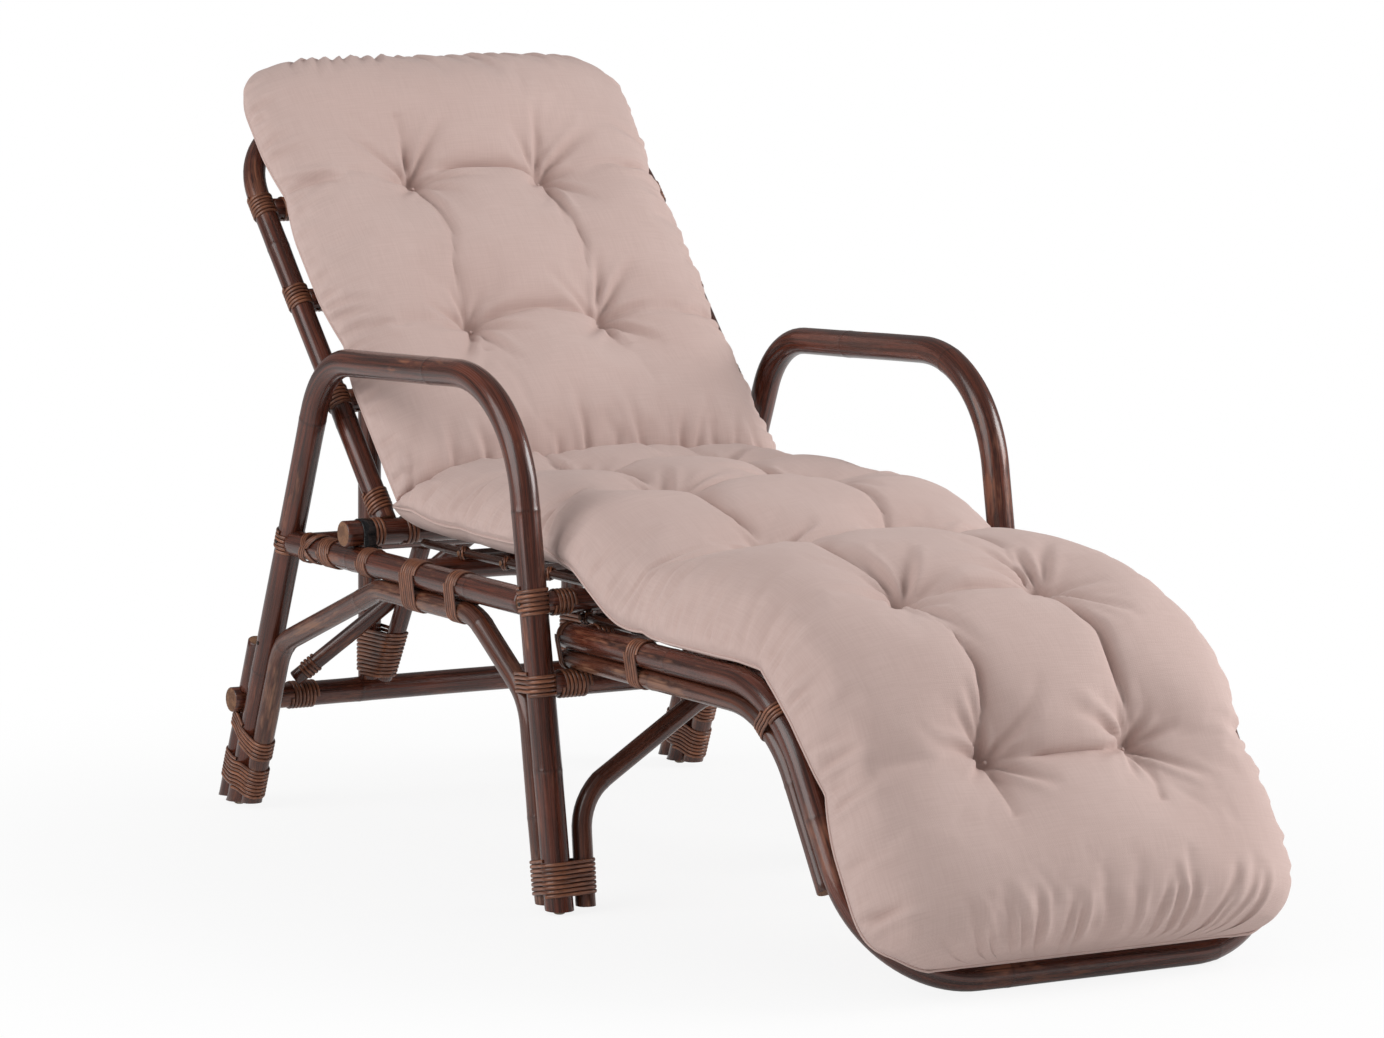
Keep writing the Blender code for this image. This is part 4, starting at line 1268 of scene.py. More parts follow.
    def wind(self, strips: dict[str, tuple]) -> None:
        """Winds strips of cane, each as a piece of its own.

        Args:
            strips: by name, the poles held, origin, axis, start, turns and seed, and where
                the turns lean also the slant and the side that it reaches furthest at.
        """
        for name, (held, origin, axis, begin, turns, seed, *lean) in strips.items():
            strip = Binding(held, origin, axis, begin, turns, f"{seed}{self.side}", *lean)
            nodes = (f"{name}_{self.side}",) if "lashing" in name else ()
            bind(f"{name}_{self.side}", [strip], Body.BASE, nodes)

    def bindings(self) -> None:
        """Cane round the feet, the legs and the rail, and the nails that hold it."""
        side, x = self.side, self.x
        out = Vector((SIDES[side], 0, 0))
        arch = self.arch_corners()
        leg = Held(side_point(x, REAR_LEG[0]), REAR_LEAN, ARM_R)
        arch_way = Vector((0, *way((arch[0], arch[1]))))
        behind = Held(side_point(x, self.behind()[0]), REAR_LEAN, self.leg_pole_r)
        rear = (leg, Held(side_point(x, arch[0]), arch_way, self.arch_r), behind)
        toe = side_point(x, FRONT_LEG[0])
        low, knee = (
            Vector((-SIDES[side] * p.x, p.y, p.z)) for p in CrossFrame().front_arch_half()[:2]
        )
        front = (
            Held(toe, FRONT_LEAN, ARM_R),
            Held(side_point(x, arch[5]), -Vector((0, *way((arch[4], arch[5])))), self.arch_r),
            Held(low, knee - low, CrossFrame.front_arch_r),
        )
        arch_z = RAIL_Z - RAIL_R - self.arch_r - GAP
        rail = Held(Vector((x, 0, RAIL_Z)), BACKWARD, RAIL_R)
        pair = (rail, Held(Vector((x, 0, arch_z)), BACKWARD, self.arch_r))
        start = rail.point
        rear_rise, front_rise, low_rise = (
            (z - FOOT_Z) / lean.z
            for z, lean in (
                (RAIL_Z, REAR_LEAN),
                (RAIL_Z, FRONT_LEAN),
                (CrossFrame().stretcher()[1], FRONT_LEAN),
            )
        )
        foot = leg.point
        self.wind({
            "foot_lashing_rear": (rear, foot, REAR_LEAN, 0.0185, 8, "rear", 0.006, -BACKWARD),
            "leg_lashing": (rear, foot, REAR_LEAN, 0.081, 5, "leg", 0.004, BACKWARD),
            "foot_lashing_front": (front, toe, FRONT_LEAN, 0.013, 8, "front"),
            "rail_lashing": (pair, start, BACKWARD, -0.020, 7, "rail"),
            "rail_front": (pair, start, BACKWARD, -0.117, 5, "rf"),
            "rail_rear": ((rail,), start, BACKWARD, 0.098, 5, "rr"),
            "rail_slanted": ((rail,), start, BACKWARD, 0.192, 6, "rs", 0.005, UP),
        })
        cross = [
            Binding((rail,), start, BACKWARD, 0.246, 3, f"x{side}{tilt}", tilt * 0.014, lift=lift)
            for tilt, lift in ((1, 0.0), (-1, 0.0011))
        ]
        bind(f"rail_crossed_{side}", cross, Body.BASE)
        self.wind({
            "rear_leg_band": (
                (leg,), foot, REAR_LEAN, rear_rise - 0.012, 5, "rl", 0.0015, -BACKWARD
            ),
            "front_leg_band": (front[:1], toe, FRONT_LEAN, front_rise - 0.014, 6, "fl"),
            "front_stretcher_band": (
                front[:2], toe, FRONT_LEAN, low_rise - 0.012, 5, "fs", 0.002, BACKWARD
            ),
        })
        heads = (
            ("rear_leg", line_point(*REAR_LEG, 0.208)),
            ("rear_band", line_point(*REAR_LEG, RAIL_Z + 0.002)),
            ("front_leg", line_point(*FRONT_LEG, RAIL_Z)),
        )
        for name, spot in heads:
            lift = ARM_R + (0.0018 if name != "rear_leg" else 0.0002)
            centre = side_point(x, spot) + out * lift
            dome(f"nail_{name}_{side}", centre, out, self.nail_r)

    def build(self) -> None:
        """Builds the whole side."""
        self.poles()
        self.glides()
        self.strap()
        self.bindings()


@dataclass
class CrossFrame:
    """Crossbars, stretchers, the front arch and what carries the back."""

    crossbars: dict[str, float] = field(default_factory=lambda: {"rear": 0.300, "mid": 0.030})
    stretcher_r: float = 0.014
    front_arch_r: float = 0.0113
    arch_foot_x: float = 0.277
    arch_knee: Point = (0.271, 0.123)
    arch_shoulder_x: float = 0.100
    arch_bend: float = 0.070
    post_x: float = 0.142
    post_r: float = 0.014
    rest_bar_r: float = 0.013
    rest_bar_overhang: float = 0.035
    knee_r: float = 0.011
    knee_lean: float = radians(29.5)
    brace_r: float = 0.0095
    brace_foot_x: float = 0.250
    brace_head_x: float = 0.055
    brace_foot_turn: float = radians(120)
    wrap_ends: tuple[Point, ...] = ((0.256, 0.222), (0.290, 0.258), (0.290, 0.266))

    def stretcher(self) -> Point:
        """Side-view place of the front stretcher, under the footrest's lower poles."""
        z = FOOTREST_Z - FOOTREST_R - 2 * FOOTREST_LOWER_R - 2 * GAP - self.stretcher_r
        return line_point(*FRONT_LEG, z)

    def front_arch_half(self) -> list[Vector]:
        """Foot, knee and shoulder of the front arch on the right.

        Returns:
            The three points, from the floor up.
        """
        y, z = self.stretcher()
        top = z - self.stretcher_r - self.front_arch_r - GAP
        foot_y = FRONT_LEG[0][0]
        made = []
        corners = ((self.arch_foot_x, SHORT_FOOT_Z), self.arch_knee, (self.arch_shoulder_x, top))
        for x, height in corners:
            share = (height - SHORT_FOOT_Z) / (top - SHORT_FOOT_Z)
            made.append(Vector((-x, foot_y + share * (y - foot_y), height)))
        return made

    def straight(self, node: str, half: float, y: float, z: float, radius: float) -> None:
        """A straight pole from side to side."""
        rattan(node, (Vector((-half, y, z)), Vector((half, y, z))), radius, Body.BASE)

    def poles(self) -> None:
        """Bars and the front arch."""
        inner = SIDE_X - RAIL_R + SEATED
        for place, y in self.crossbars.items():
            self.straight(f"seat_{place}_crossbar", inner, y, RAIL_Z, CROSSBAR_R)
        self.straight("seat_front_crossbar", inner, FRONT_BAR_Y, RAIL_Z, CROSSBAR_R)
        y, z = self.stretcher()
        self.straight("front_stretcher", inner, y, z, self.stretcher_r)
        half = SIDE_X + BAR_OVERHANG
        self.straight("rear_stretcher", half, REAR_STRETCHER_Y, REAR_STRETCHER_Z, STRETCHER_R)
        side = self.front_arch_half()
        side[0] = side[0] + (side[0] - side[1]).normalized() * SEATED
        route = rounded(mirrored(side), (self.arch_bend,) * 4)
        settings = {"finish": ARCHED, "floor_z": SHORT_FOOT_Z}
        rattan("front_arch", route, self.front_arch_r, Body.BASE, **settings)

    def support(self) -> None:
        """Rest bar, posts and braces on the rear stretcher, with their bindings."""
        rise = BACK_R - self.rest_bar_r
        along = (REAR_STRETCHER_Y - HINGE_Y + rise * sin(RECLINE)) / cos(RECLINE)
        bar_z = HINGE_Z + along * sin(RECLINE) + rise * cos(RECLINE)
        half = self.post_x + self.rest_bar_overhang
        self.straight("back_rest_bar", half, REAR_STRETCHER_Y, bar_z, self.rest_bar_r)
        foot_z = REAR_STRETCHER_Z + STRETCHER_R
        lean = Vector((0, sin(self.knee_lean), -cos(self.knee_lean)))
        for side, sign in SIDES.items():
            x = sign * self.post_x
            foot = Vector((x, REAR_STRETCHER_Y, foot_z - SEATED))
            head = Vector((x, REAR_STRETCHER_Y, bar_z - self.rest_bar_r + SEATED))
            rattan(f"back_post_{side}", (foot, head), self.post_r, Body.BASE)
            top = Vector((x, self.crossbars["rear"], RAIL_Z)) + lean * (CROSSBAR_R - 0.002)
            drop = (top.z - foot_z - 0.004) / cos(self.knee_lean)
            rattan(f"knee_brace_{side}", (top, top + lean * drop), self.knee_r, Body.BASE)
            reach = STRETCHER_R + self.brace_r
            low = Vector((
                sign * self.brace_foot_x,
                REAR_STRETCHER_Y + reach * cos(self.brace_foot_turn),
                REAR_STRETCHER_Z + reach * sin(self.brace_foot_turn),
            ))
            high_y = self.crossbars["rear"] + CROSSBAR_R + self.brace_r
            high = Vector((sign * self.brace_head_x, high_y, RAIL_Z))
            rattan(f"rear_brace_{side}", (low, high), self.brace_r, Body.BASE)
            self.support_bindings(side, sign, foot, lean, low, high)

    def support_bindings(
        self, side: str, sign: int, foot: Vector, lean: Vector, low: Vector, high: Vector
    ) -> None:
        """Bindings of one post, the diagonal's foot and the stretchers' ends.

        Args:
            side: right or left.
            sign: the side's way along x.
            foot: the post's foot.
            lean: the knee brace's way, downwards.
            low: the diagonal brace's lower end.
            high: its upper end.
        """
        rear = Vector((sign * self.post_x, self.crossbars["rear"], RAIL_Z))
        bundle = (Held(foot, UP, self.post_r), Held(rear, -lean, self.knee_r))
        post = [Binding(bundle, foot, UP, 0.006, 12, f"post{side}")]
        bind(f"post_lashing_{side}", post, Body.BASE, (f"post_lashing_{side}",))
        y, z = self.stretcher()
        bars = [
            Held(Vector((0, *place)), ACROSS, radius)
            for place, radius in (
                ((REAR_STRETCHER_Y, REAR_STRETCHER_Z), STRETCHER_R),
                ((y, z), self.stretcher_r),
                ((FRONT_BAR_Y, RAIL_Z), CROSSBAR_R),
            )
        ]
        brace = Held(low, high - low, self.brace_r)
        under = self.front_arch_half()[2]
        both = (bars[1], Held(Vector((0, under.y, under.z)), ACROSS, self.front_arch_r))
        beside = [min(sign * near, sign * far) for near, far in self.wrap_ends]
        wraps = {
            "rear_stretcher_band": [
                Binding(bars[:1], bars[0].point, ACROSS, beside[0], 7, f"st{side}"),
                Binding((brace,), low, high - low, 0.012, 4, f"br{side}"),
            ],
            "front_stretcher_wrap": [
                Binding(bars[1:2], bars[1].point, ACROSS, beside[1], 7, f"fst{side}")
            ],
            "front_crossbar_wrap": [
                Binding(bars[2:], bars[2].point, ACROSS, beside[2], 5, f"fc{side}")
            ],
            "front_arch_wrap": [
                Binding(both, bars[1].point, ACROSS, sign * 0.075 - 0.010, 4, f"fa{side}")
            ],
        }
        for name, strips in wraps.items():
            bind(f"{name}_{side}", strips, Body.BASE)

    def build(self) -> None:
        """Builds every bar and its bindings."""
        self.poles()
        self.support()


@dataclass
class Deck:
    """Slats along a side-view route, tied over battens."""

    node: str
    body: Body
    route: Sequence[Vector]
    battens: Sequence[Point]
    place: Matrix = field(default_factory=lambda: TO_FRAME)
    count: int = 7
    spread: float = 0.480
    batten_r: float = 0.004

    def build(self) -> None:
        """Builds slats and battens as one piece, and the ties where they cross."""
        shape = Shape()
        gaps = self.count - 1
        rows = [-self.spread / 2 + index * self.spread / gaps for index in range(self.count)]
        for index, x in enumerate(rows):
            line = [Vector((x, p.y, p.z)) for p in self.route]
            name = f"{self.node}{index}"
            Pole(line, SLAT_R, name, sides=12, step=0.012, bevel=0.0006).into(shape)
        reach = self.spread / 2 + SLAT_R + self.batten_r
        for number, spot in enumerate(self.battens):
            line = [side_point(-reach, spot), side_point(reach, spot)]
            name = f"{self.node}batten{number}"
            Pole(line, self.batten_r, name, sides=10, step=0.02, bevel=0.0006).into(shape)
        piece = shape.make(f"slatted_{self.node}", (SLATTED, SAWN), self.place)
        settle(piece, self.body, (self.node,))
        ties = Shape()
        for number, spot in enumerate(self.battens):
            for index, x in enumerate(rows):
                for tilt in (1, -1):
                    self.tie(ties, x, spot, tilt, number * self.count + index)
        settle(ties.make(f"tied_{self.node}", (CANE,), self.place), self.body)

    def tie(self, shape: Shape, x: float, spot: Point, tilt: int, seed: int) -> None:
        """One diagonal turn of thin cane round a crossing of slat and batten.

        Args:
            shape: the shape that it goes into.
            x: the slat's place across.
            spot: the crossing in the side view.
            tilt: 1 or -1, for the two diagonals.
            seed: the crossing's number.
        """
        centre = side_point(x, spot)
        level = side_point(0, spot)
        near = min(range(len(self.route)), key=lambda i: (level - self.route[i]).length)
        near = max(1, min(near, len(self.route) - 1))
        along = (self.route[near] - self.route[near - 1]).normalized()
        axis = Vector((tilt, 0, 0)) * 0.8 + along * 0.8
        ball = Held(centre, axis.normalized(), SLAT_R + 0.0012)
        strip = Binding((ball,), centre, axis, -0.0032, 2, f"{self.node}tie{seed}{tilt}")
        strip.width, strip.pitch, strip.thick, strip.corners = 0.0028, 0.0031, 0.0010, 12
        strip.lift = 0.0 if tilt > 0 else 0.0009
        strip.into(shape)


@dataclass
class Back:
    """Back frame on its hinge pole, with crossbars, slats and bindings."""

    x: float = 0.270
    radius: float = BACK_R
    length: float = 0.615
    bend: float = 0.120
    bar_r: float = 0.013
    bars: dict[str, float] = field(
        default_factory=lambda: {"lower": 0.190, "middle": 0.340, "upper": 0.478}
    )

    def build(self) -> None:
        """Builds the back."""
        half = SIDE_X + BAR_OVERHANG
        hinge = (Vector((-half, 0, 0)), Vector((half, 0, 0)))
        rattan("hinge_pole", hinge, HINGE_R, Body.BACK, TO_BACK, sides=26)
        start = HINGE_R - 0.002
        side = [Vector((-self.x, start, 0)), Vector((-self.x, self.length, 0))]
        route = rounded(mirrored(side), (self.bend, self.bend))
        rattan("back_frame", route, self.radius, Body.BACK, TO_BACK, sides=26)
        inner = self.x - self.radius + SEATED
        for place, along in self.bars.items():
            line = (Vector((-inner, along, 0)), Vector((inner, along, 0)))
            rattan(f"back_crossbar_{place}", line, self.bar_r, Body.BACK, TO_BACK)
        rise = self.radius + GAP + SLAT_R
        end = self.length - self.radius - 2 * GAP
        line = [Vector((0, 0.050, rise)), Vector((0, end, rise))]
        places = [(along + 2 * self.bar_r, rise) for along in self.bars.values()]
        Deck("back_slats", Body.BACK, line, places, TO_BACK).build()
        for name, sign in SIDES.items():
            self.bindings(name, sign)

    def bindings(self, side: str, sign: int) -> None:
        """Bindings of one side pole, its foot and its crossbars.

        Args:
            side: right or left.
            sign: the side's way along x.
        """
        pole = Held(Vector((sign * self.x, 0, 0)), BACKWARD, self.radius)
        foot = Binding((pole,), pole.point, BACKWARD, 0.024, 6, f"bf{side}", 0.002, ACROSS)
        nodes = (f"back_lashing_{side}",)
        bind(f"back_lashing_{side}", [foot], Body.BACK, nodes, TO_BACK)
        hinge = Held(Vector(), ACROSS, HINGE_R)
        start = sign * self.x
        wraps = [
            Binding((hinge,), hinge.point, ACROSS, start + offset, 3, f"h{side}{offset}")
            for offset in (-0.0290, 0.0142)
        ]
        bind(f"hinge_lashing_{side}", wraps, Body.BACK, (), TO_BACK)
        for place, along in self.bars.items():
            bar = Held(Vector((0, along, 0)), ACROSS, self.bar_r)
            first = min(sign * (self.x - 0.034), sign * (self.x - 0.0190))
            near = [
                Binding((pole,), pole.point, BACKWARD, along - 0.0145, 6, f"b{place}{side}"),
                Binding((bar,), bar.point, ACROSS, first, 3, f"c{place}{side}"),
            ]
            bind(f"crossbar_{place}_{side}", near, Body.BACK, (), TO_BACK)


@dataclass
class Footrest:
    """Footrest frame on the front stretcher, with crossbars, slats and bindings."""

    x: float = 0.265
    radius: float = FOOTREST_R
    lower_r: float = FOOTREST_LOWER_R
    top_z: float = FOOTREST_Z
    rear_y: float = -0.262
    knee_y: float = -0.706
    end_y: float = -0.884
    knee_bend: float = 0.170
    corner_bend: float = 0.130
    lower_end_z: float = 0.100
    bar_r: float = 0.012
    bars: dict[str, float] = field(default_factory=lambda: {"rear": -0.285, "knee": -0.570})
    slat_end_z: float = 0.095
    bend_band_y: float = -0.690

    @property
    def line(self) -> list[Point]:
        """Side-view corners of the frame."""
        return [(self.rear_y, self.top_z), (self.knee_y, self.top_z), (self.end_y, self.radius)]

    @property
    def drop(self) -> float:
        """From the frame's middle to the lower pole's."""
        return self.radius + self.lower_r + GAP

    def build(self) -> None:
        """Builds the footrest."""
        corners = mirrored([side_point(-self.x, p) for p in self.line])
        bends = (self.knee_bend, self.corner_bend, self.corner_bend, self.knee_bend)
        settings = {"sides": 26, "floor_z": 0.0}
        rattan("footrest_frame", rounded(corners, bends), self.radius, Body.FOOTREST, **settings)
        lower = offset_route(self.line, -self.drop)
        for side, sign in SIDES.items():
            corners = [side_point(sign * self.x, p) for p in lower]
            route = rounded(corners, (self.knee_bend - self.drop,))
            route = cut_low(route, self.lower_end_z)
            node = f"footrest_lower_pole_{side}"
            rattan(node, route, self.lower_r, Body.FOOTREST, finish=ARCHED)
        inner = self.x - self.radius + SEATED
        for place, y in self.bars.items():
            line = (Vector((-inner, y, self.top_z)), Vector((inner, y, self.top_z)))
            rattan(f"footrest_crossbar_{place}", line, self.bar_r, Body.FOOTREST)
        rise = self.bar_r + GAP + SLAT_R
        raised = offset_route(self.line, rise)
        route = rounded([side_point(0, p) for p in raised], (self.knee_bend + rise,))
        low = line_point(raised[1], raised[2], self.slat_end_z + 0.024)
        middle = line_point(raised[1], raised[2], self.top_z / 2)
        places = [(y + 2 * self.bar_r, raised[0][1]) for y in self.bars.values()]
        slats = cut_low(route, self.slat_end_z)
        Deck("footrest_slats", Body.FOOTREST, slats, [*places, middle, low]).build()
        for side, sign in SIDES.items():
            self.bindings(side, sign)

    def bindings(self, side: str, sign: int) -> None:
        """Bindings of one side: frame and lower pole together, and the crossbars' ends.

        Args:
            side: right or left.
            sign: the side's way along x.
        """
        top = Held(Vector((sign * self.x, 0, self.top_z)), BACKWARD, self.radius)
        under = Held(top.point - Vector((0, 0, self.drop)), BACKWARD, self.lower_r)
        pair, origin = (top, under), top.point
        middle = sum(self.bars.values()) / 2
        strips = [Binding(pair, origin, BACKWARD, middle - 0.012, 5, f"fm{side}")]
        bind(f"footrest_lashing_{side}", strips, Body.FOOTREST, (f"footrest_lashing_{side}",))
        rear = [Binding(pair, origin, BACKWARD, self.rear_y - 0.014, 2, f"fr{side}", 0.001)]
        bind(f"footrest_rear_{side}", rear, Body.FOOTREST)
        for place, y in self.bars.items():
            bar = Held(Vector((0, y, self.top_z)), ACROSS, self.bar_r)
            first = min(sign * (self.x - 0.038), sign * (self.x - 0.0165))
            strips = [Binding((bar,), bar.point, ACROSS, first, 4, f"fe{place}{side}")]
            bind(f"footrest_bar_{place}_{side}", strips, Body.FOOTREST)
        held = []
        for drop, radius in ((0.0, self.radius), (self.drop, self.lower_r)):
            line = offset_route(self.line, -drop) if drop else self.line
            route = rounded([side_point(sign * self.x, p) for p in line], (self.knee_bend - drop,))
            place = next(k for k, p in enumerate(route) if p.y < self.bend_band_y)
            onward = (route[place + 1] - route[place - 1]).normalized()
            held.append(Held(route[place], onward, radius))
        strips = [Binding(held, held[0].point, held[0].way, -0.010, 4, f"fk{side}", 0.006)]
        bind(f"footrest_knee_band_{side}", strips, Body.FOOTREST)


# The pad


@dataclass
class Pad:
    """One piece of the tufted pad, laid along a side-view route.

    lie is +1 where the pad lies to the left of the route's way, and -1 to the right.
    closed tells, for the start and the end, whether the pad is sewn shut there.
    """

    name: str
    nodes: tuple[str, ...]
    route: Sequence[Vector]
    length: float
    rows: tuple[float, ...]
    closed: tuple[bool, bool]
    thick_at: Callable[[float], float]
    lie: int
    place: Matrix
    bodies: tuple[Body, Body]
    bend: tuple[Vector, Vector]
    seed: int
    half_width: float = 0.2575
    shift_x: float = -0.015
    seam_share: float = 0.28
    corner: float = 0.085
    end_taper: float = 0.055
    draw_in: float = 0.010
    roll: float = 0.010
    crease_lift: float = 0.0
    tuck: float = 0.0
    column: float = 1.0
    droop: float = 0.0
    tuft_x: float = 0.086
    tuft_depth: float = 0.046
    valley_depth: float = 0.017
    bow: float = 0.010
    step: float = 0.0068
    across_count: int = 84
    cap_move: float = 0.015
    crown_power: float = 3.2
    gather_depth: float = 0.0125
    gather_steep: float = 0.0035
    gather_gentle: float = 0.0085
    tuft_wide: float = 0.034
    valley_wide: float = 0.030
    ripple: float = 0.0011
    frames: int = 20
    piping_r: float = 0.0016
    button_r: float = 0.0020
    leg_from: float = 0.34
    leg_ramp: float = 0.18

    def shares(self) -> list[float]:
        """Places across the pad, from +1 to -1, evenly spaced round the crown.

        Returns:
            The places, as shares of half the width.
        """
        fine = [1 - 2 * k / 4000 for k in range(4001)]
        half, tall = self.half_width, 0.066
        curve = [(s * half, tall * sqrt(max(1 - abs(s) ** self.crown_power, 0))) for s in fine]
        run = [0.0]
        for a, b in zip(curve, curve[1:]):
            run.append(run[-1] + hypot(b[0] - a[0], b[1] - a[1]))
        made, index = [], 0
        for number in range(self.across_count):
            target = run[-1] * number / (self.across_count - 1)
            while index < 4000 and run[index] < target:
                index += 1
            made.append(fine[index])
        made[0], made[-1] = 1.0, -1.0
        return made

    def stations(self) -> list[float]:
        """Distances along the route, closer together towards a sewn end.

        Returns:
            The distances, from end to end.
        """
        spots, place = [], 0.0
        while place < self.length - 0.002:
            spots.append(place)
            from_end = min(
                place if self.closed[0] else 1.0, self.length - place if self.closed[1] else 1.0
            )
            place += 0.0028 if from_end < 0.022 else self.step
        return [*spots, self.length]

    def ends(self, place: float, reach: float) -> float:
        """0 at a sewn end, 1 beyond the reach of its curve.

        Args:
            place: distance along the pad.
            reach: length of the curve.

        Returns:
            The factor.
        """
        factor = 1.0
        for from_end, shut in ((place, self.closed[0]), (self.length - place, self.closed[1])):
            if shut and from_end < reach:
                share = 1 - max(from_end, 0) / reach
                factor *= sqrt(max(1 - share**2.4, 0))
            elif not shut:
                factor *= sqrt(1 - 0.6 * max(1 - from_end / 0.032, 0) ** 2)
        return factor

    def dip(self, x: float, place: float) -> float:
        """Depth of the tufts and of the valleys that run between them and to the edges.

        Args:
            x: distance from the pad's middle.
            place: distance along the pad.

        Returns:
            The depth.
        """
        deep = 0.0
        inside = max(1 - (x / self.tuft_x) ** 2, 0)
        for row in self.rows:
            off = hypot(abs(x) - self.tuft_x, place - row)
            deep += (self.tuft_depth * exp(-((off / self.tuft_wide) ** 0.95))) ** 3
            line = abs(place - row - self.bow * inside)
            reach = 1.0 if inside else exp(-(((abs(x) - self.tuft_x) / 0.075) ** 2))
            share = 1.0 if inside else 0.8
            fall = exp(-((line / self.valley_wide) ** 1.15))
            deep += (self.valley_depth * share * fall * reach) ** 3
        line = abs(abs(x) - self.tuft_x - self.waver(place, x))
        past = max(self.rows[0] - place, place - self.rows[-1], 0)
        reach = exp(-((past / 0.095) ** 2))
        valley = (0.45 + 0.35 * self.column) * self.valley_depth
        deep += (valley * exp(-((line / self.valley_wide) ** 1.15)) * reach) ** 3
        return deep ** (1 / 3)

    def waver(self, place: object, x: object) -> object:
        """How far a column's valley strays sideways; works on numbers and on arrays.

        Args:
            place: distance along the pad.
            x: distance from the pad's middle.

        Returns:
            The distance sideways.
        """
        side = np.where(np.asarray(x) > 0, 1.7, 0.0)
        wave = 0.0075 * np.sin(place * 21 + self.seed + side)
        wave = wave + 0.004 * np.sin(place * 47 + side * 3)
        return wave if np.ndim(wave) else float(wave)

    def rays(self) -> list[tuple[float, float, float, float, float]]:
        """The small sharp folds as (x, place, angle, length, depth).

        Returns:
            The folds, always the same ones for the same seed.
        """
        random = Random(self.seed)
        made = []
        for row in self.rows:
            for sign in (-1, 1):
                turn = random.uniform(0, 1.2)
                for number in range(8):
                    angle = turn + number * 2 * pi / 8 + random.uniform(-0.25, 0.25)
                    reach = random.uniform(0.040, 0.105)
                    depth = random.uniform(0.0060, 0.0100)
                    made.append((sign * self.tuft_x, row, angle, reach, depth))
        for sign in (-1, 1):
            place = 0.02
            while place < self.length - 0.03:
                angle = (pi if sign > 0 else 0) + random.uniform(-0.35, 0.35)
                near = min(abs(place - row) for row in self.rows) < 0.05
                reach = random.uniform(0.040, 0.100) if near else random.uniform(0.018, 0.050)
                depth = random.uniform(0.0050, 0.0090)
                made.append((sign * self.half_width * 1.02, place, angle, reach, depth))
                place += random.uniform(0.012, 0.034)
        for margin, place, turn, reaches, gaps in (
            (0.05, self.length + 0.004, -pi / 2, (0.025, 0.085), (0.016, 0.040)),
            (0.02, -0.004, pi / 2, (0.030, 0.115), (0.018, 0.050)),
        ):
            x = -self.half_width + margin
            while x < self.half_width - margin:
                angle = turn + random.uniform(-0.3, 0.3)
                reach = random.uniform(*reaches)
                made.append((x, place, angle, reach, random.uniform(0.0045, 0.0085)))
                x += random.uniform(*gaps)
        return made

    def creases(self, x: np.ndarray, place: np.ndarray) -> np.ndarray:
        """Depth of the sharp folds at many points of the crown.

        Args:
            x: distances from the pad's middle.
            place: distances along the pad.

        Returns:
            The depths.
        """
        deep = np.zeros_like(x)
        for x0, place0, angle, reach, depth in self.rays():
            dx, dp = x - x0, place - place0
            along = dx * cos(angle) + dp * sin(angle)
            near = (along > 0) & (along < reach)
            run = along[near]
            off = dp[near] * cos(angle) - dx[near] * sin(angle) + 1.5 * run**2
            fade = np.clip(run / 0.010, 0, 1) * (1 - run / reach) ** 0.8
            off /= 0.0036 + 0.05 * run
            deep[near] += depth * fade * (np.exp(-(off**2)) - 0.7 * np.exp(-((off - 1.9) ** 2)))
        strength = 0.60 + 0.40 * np.sin(place * 23 + self.seed + np.where(x > 0, 2.0, 0.0))
        between = (place > self.rows[0] - 0.05) & (place < self.rows[-1] + 0.08)
        line = np.abs(x) - self.tuft_x - self.waver(place, x)
        wide = np.where(line > 0, self.gather_steep, self.gather_gentle)
        gathers = self.gather_depth * self.column * strength * between
        deep += gathers * np.exp(-np.abs(line) / wide)
        inside = np.clip(1 - (x / self.tuft_x) ** 2, 0, None)
        for number, row in enumerate(self.rows):
            line = place - row - self.bow * inside
            share = np.sqrt(inside) * (1.0 if number % 2 else 0.6)
            wide = np.where(line > 0, self.gather_gentle, self.gather_steep)
            deep += self.gather_depth * share * np.exp(-np.abs(line) / wide)
        soft = np.sin(x * 31 + 2.2 * np.sin(place * 17 + self.seed))
        soft = soft * np.sin(place * 26 + self.seed)
        return deep + self.ripple * soft

    def lay(self) -> tuple[Shape, list[tuple[float, float, bool, Vector]]]:
        """The pad before it swells.

        Returns:
            The shape, and for each point its share across, its place along, whether it is
            on the crown, and the pad's own upward direction there.
        """
        shares, stations = self.shares(), self.stations()
        run = lengths(self.route)
        shape, facts = Shape(), []
        count = len(shares)
        for place in stations:
            centre = at_length(self.route, run, place)
            ahead = at_length(self.route, run, min(place + 0.012, run[-1]))
            before = at_length(self.route, run, max(place - 0.012, 0))
            tangent = (ahead - before).normalized()
            normal = Vector((0, -tangent.z, tangent.y)) * self.lie
            ends = max(self.ends(place, self.end_taper), 0.12)
            corner = 1 - self.ends(place, self.corner) if place > self.length / 2 else 0.0
            nearness = max(max(1 - abs(place - t) / 0.07 for t in self.rows), 0)
            half = self.half_width - self.draw_in * nearness**1.5 - self.corner * corner
            thick = self.thick_at(place)
            low = min(max((place - self.leg_from) / self.leg_ramp, 0), 1)
            seam = thick * (self.seam_share - self.tuck * low * low * (3 - 2 * low))
            seam += self.crease_lift * max(1 - place / 0.12, 0) ** 1.4
            for top, share in [(True, s) for s in shares] + [(False, s) for s in shares[-2:0:-1]]:
                x = share * half
                if top:
                    bulge = sqrt(max(1 - abs(share) ** self.crown_power, 0)) * ends
                    height = seam + (thick - seam) * bulge
                    height -= self.dip(x, place) * min(bulge * 1.1, 1)
                    out = bulge / 0.35
                    x += (self.roll * out * exp(1 - out)) * (1 if share > 0 else -1)
                else:
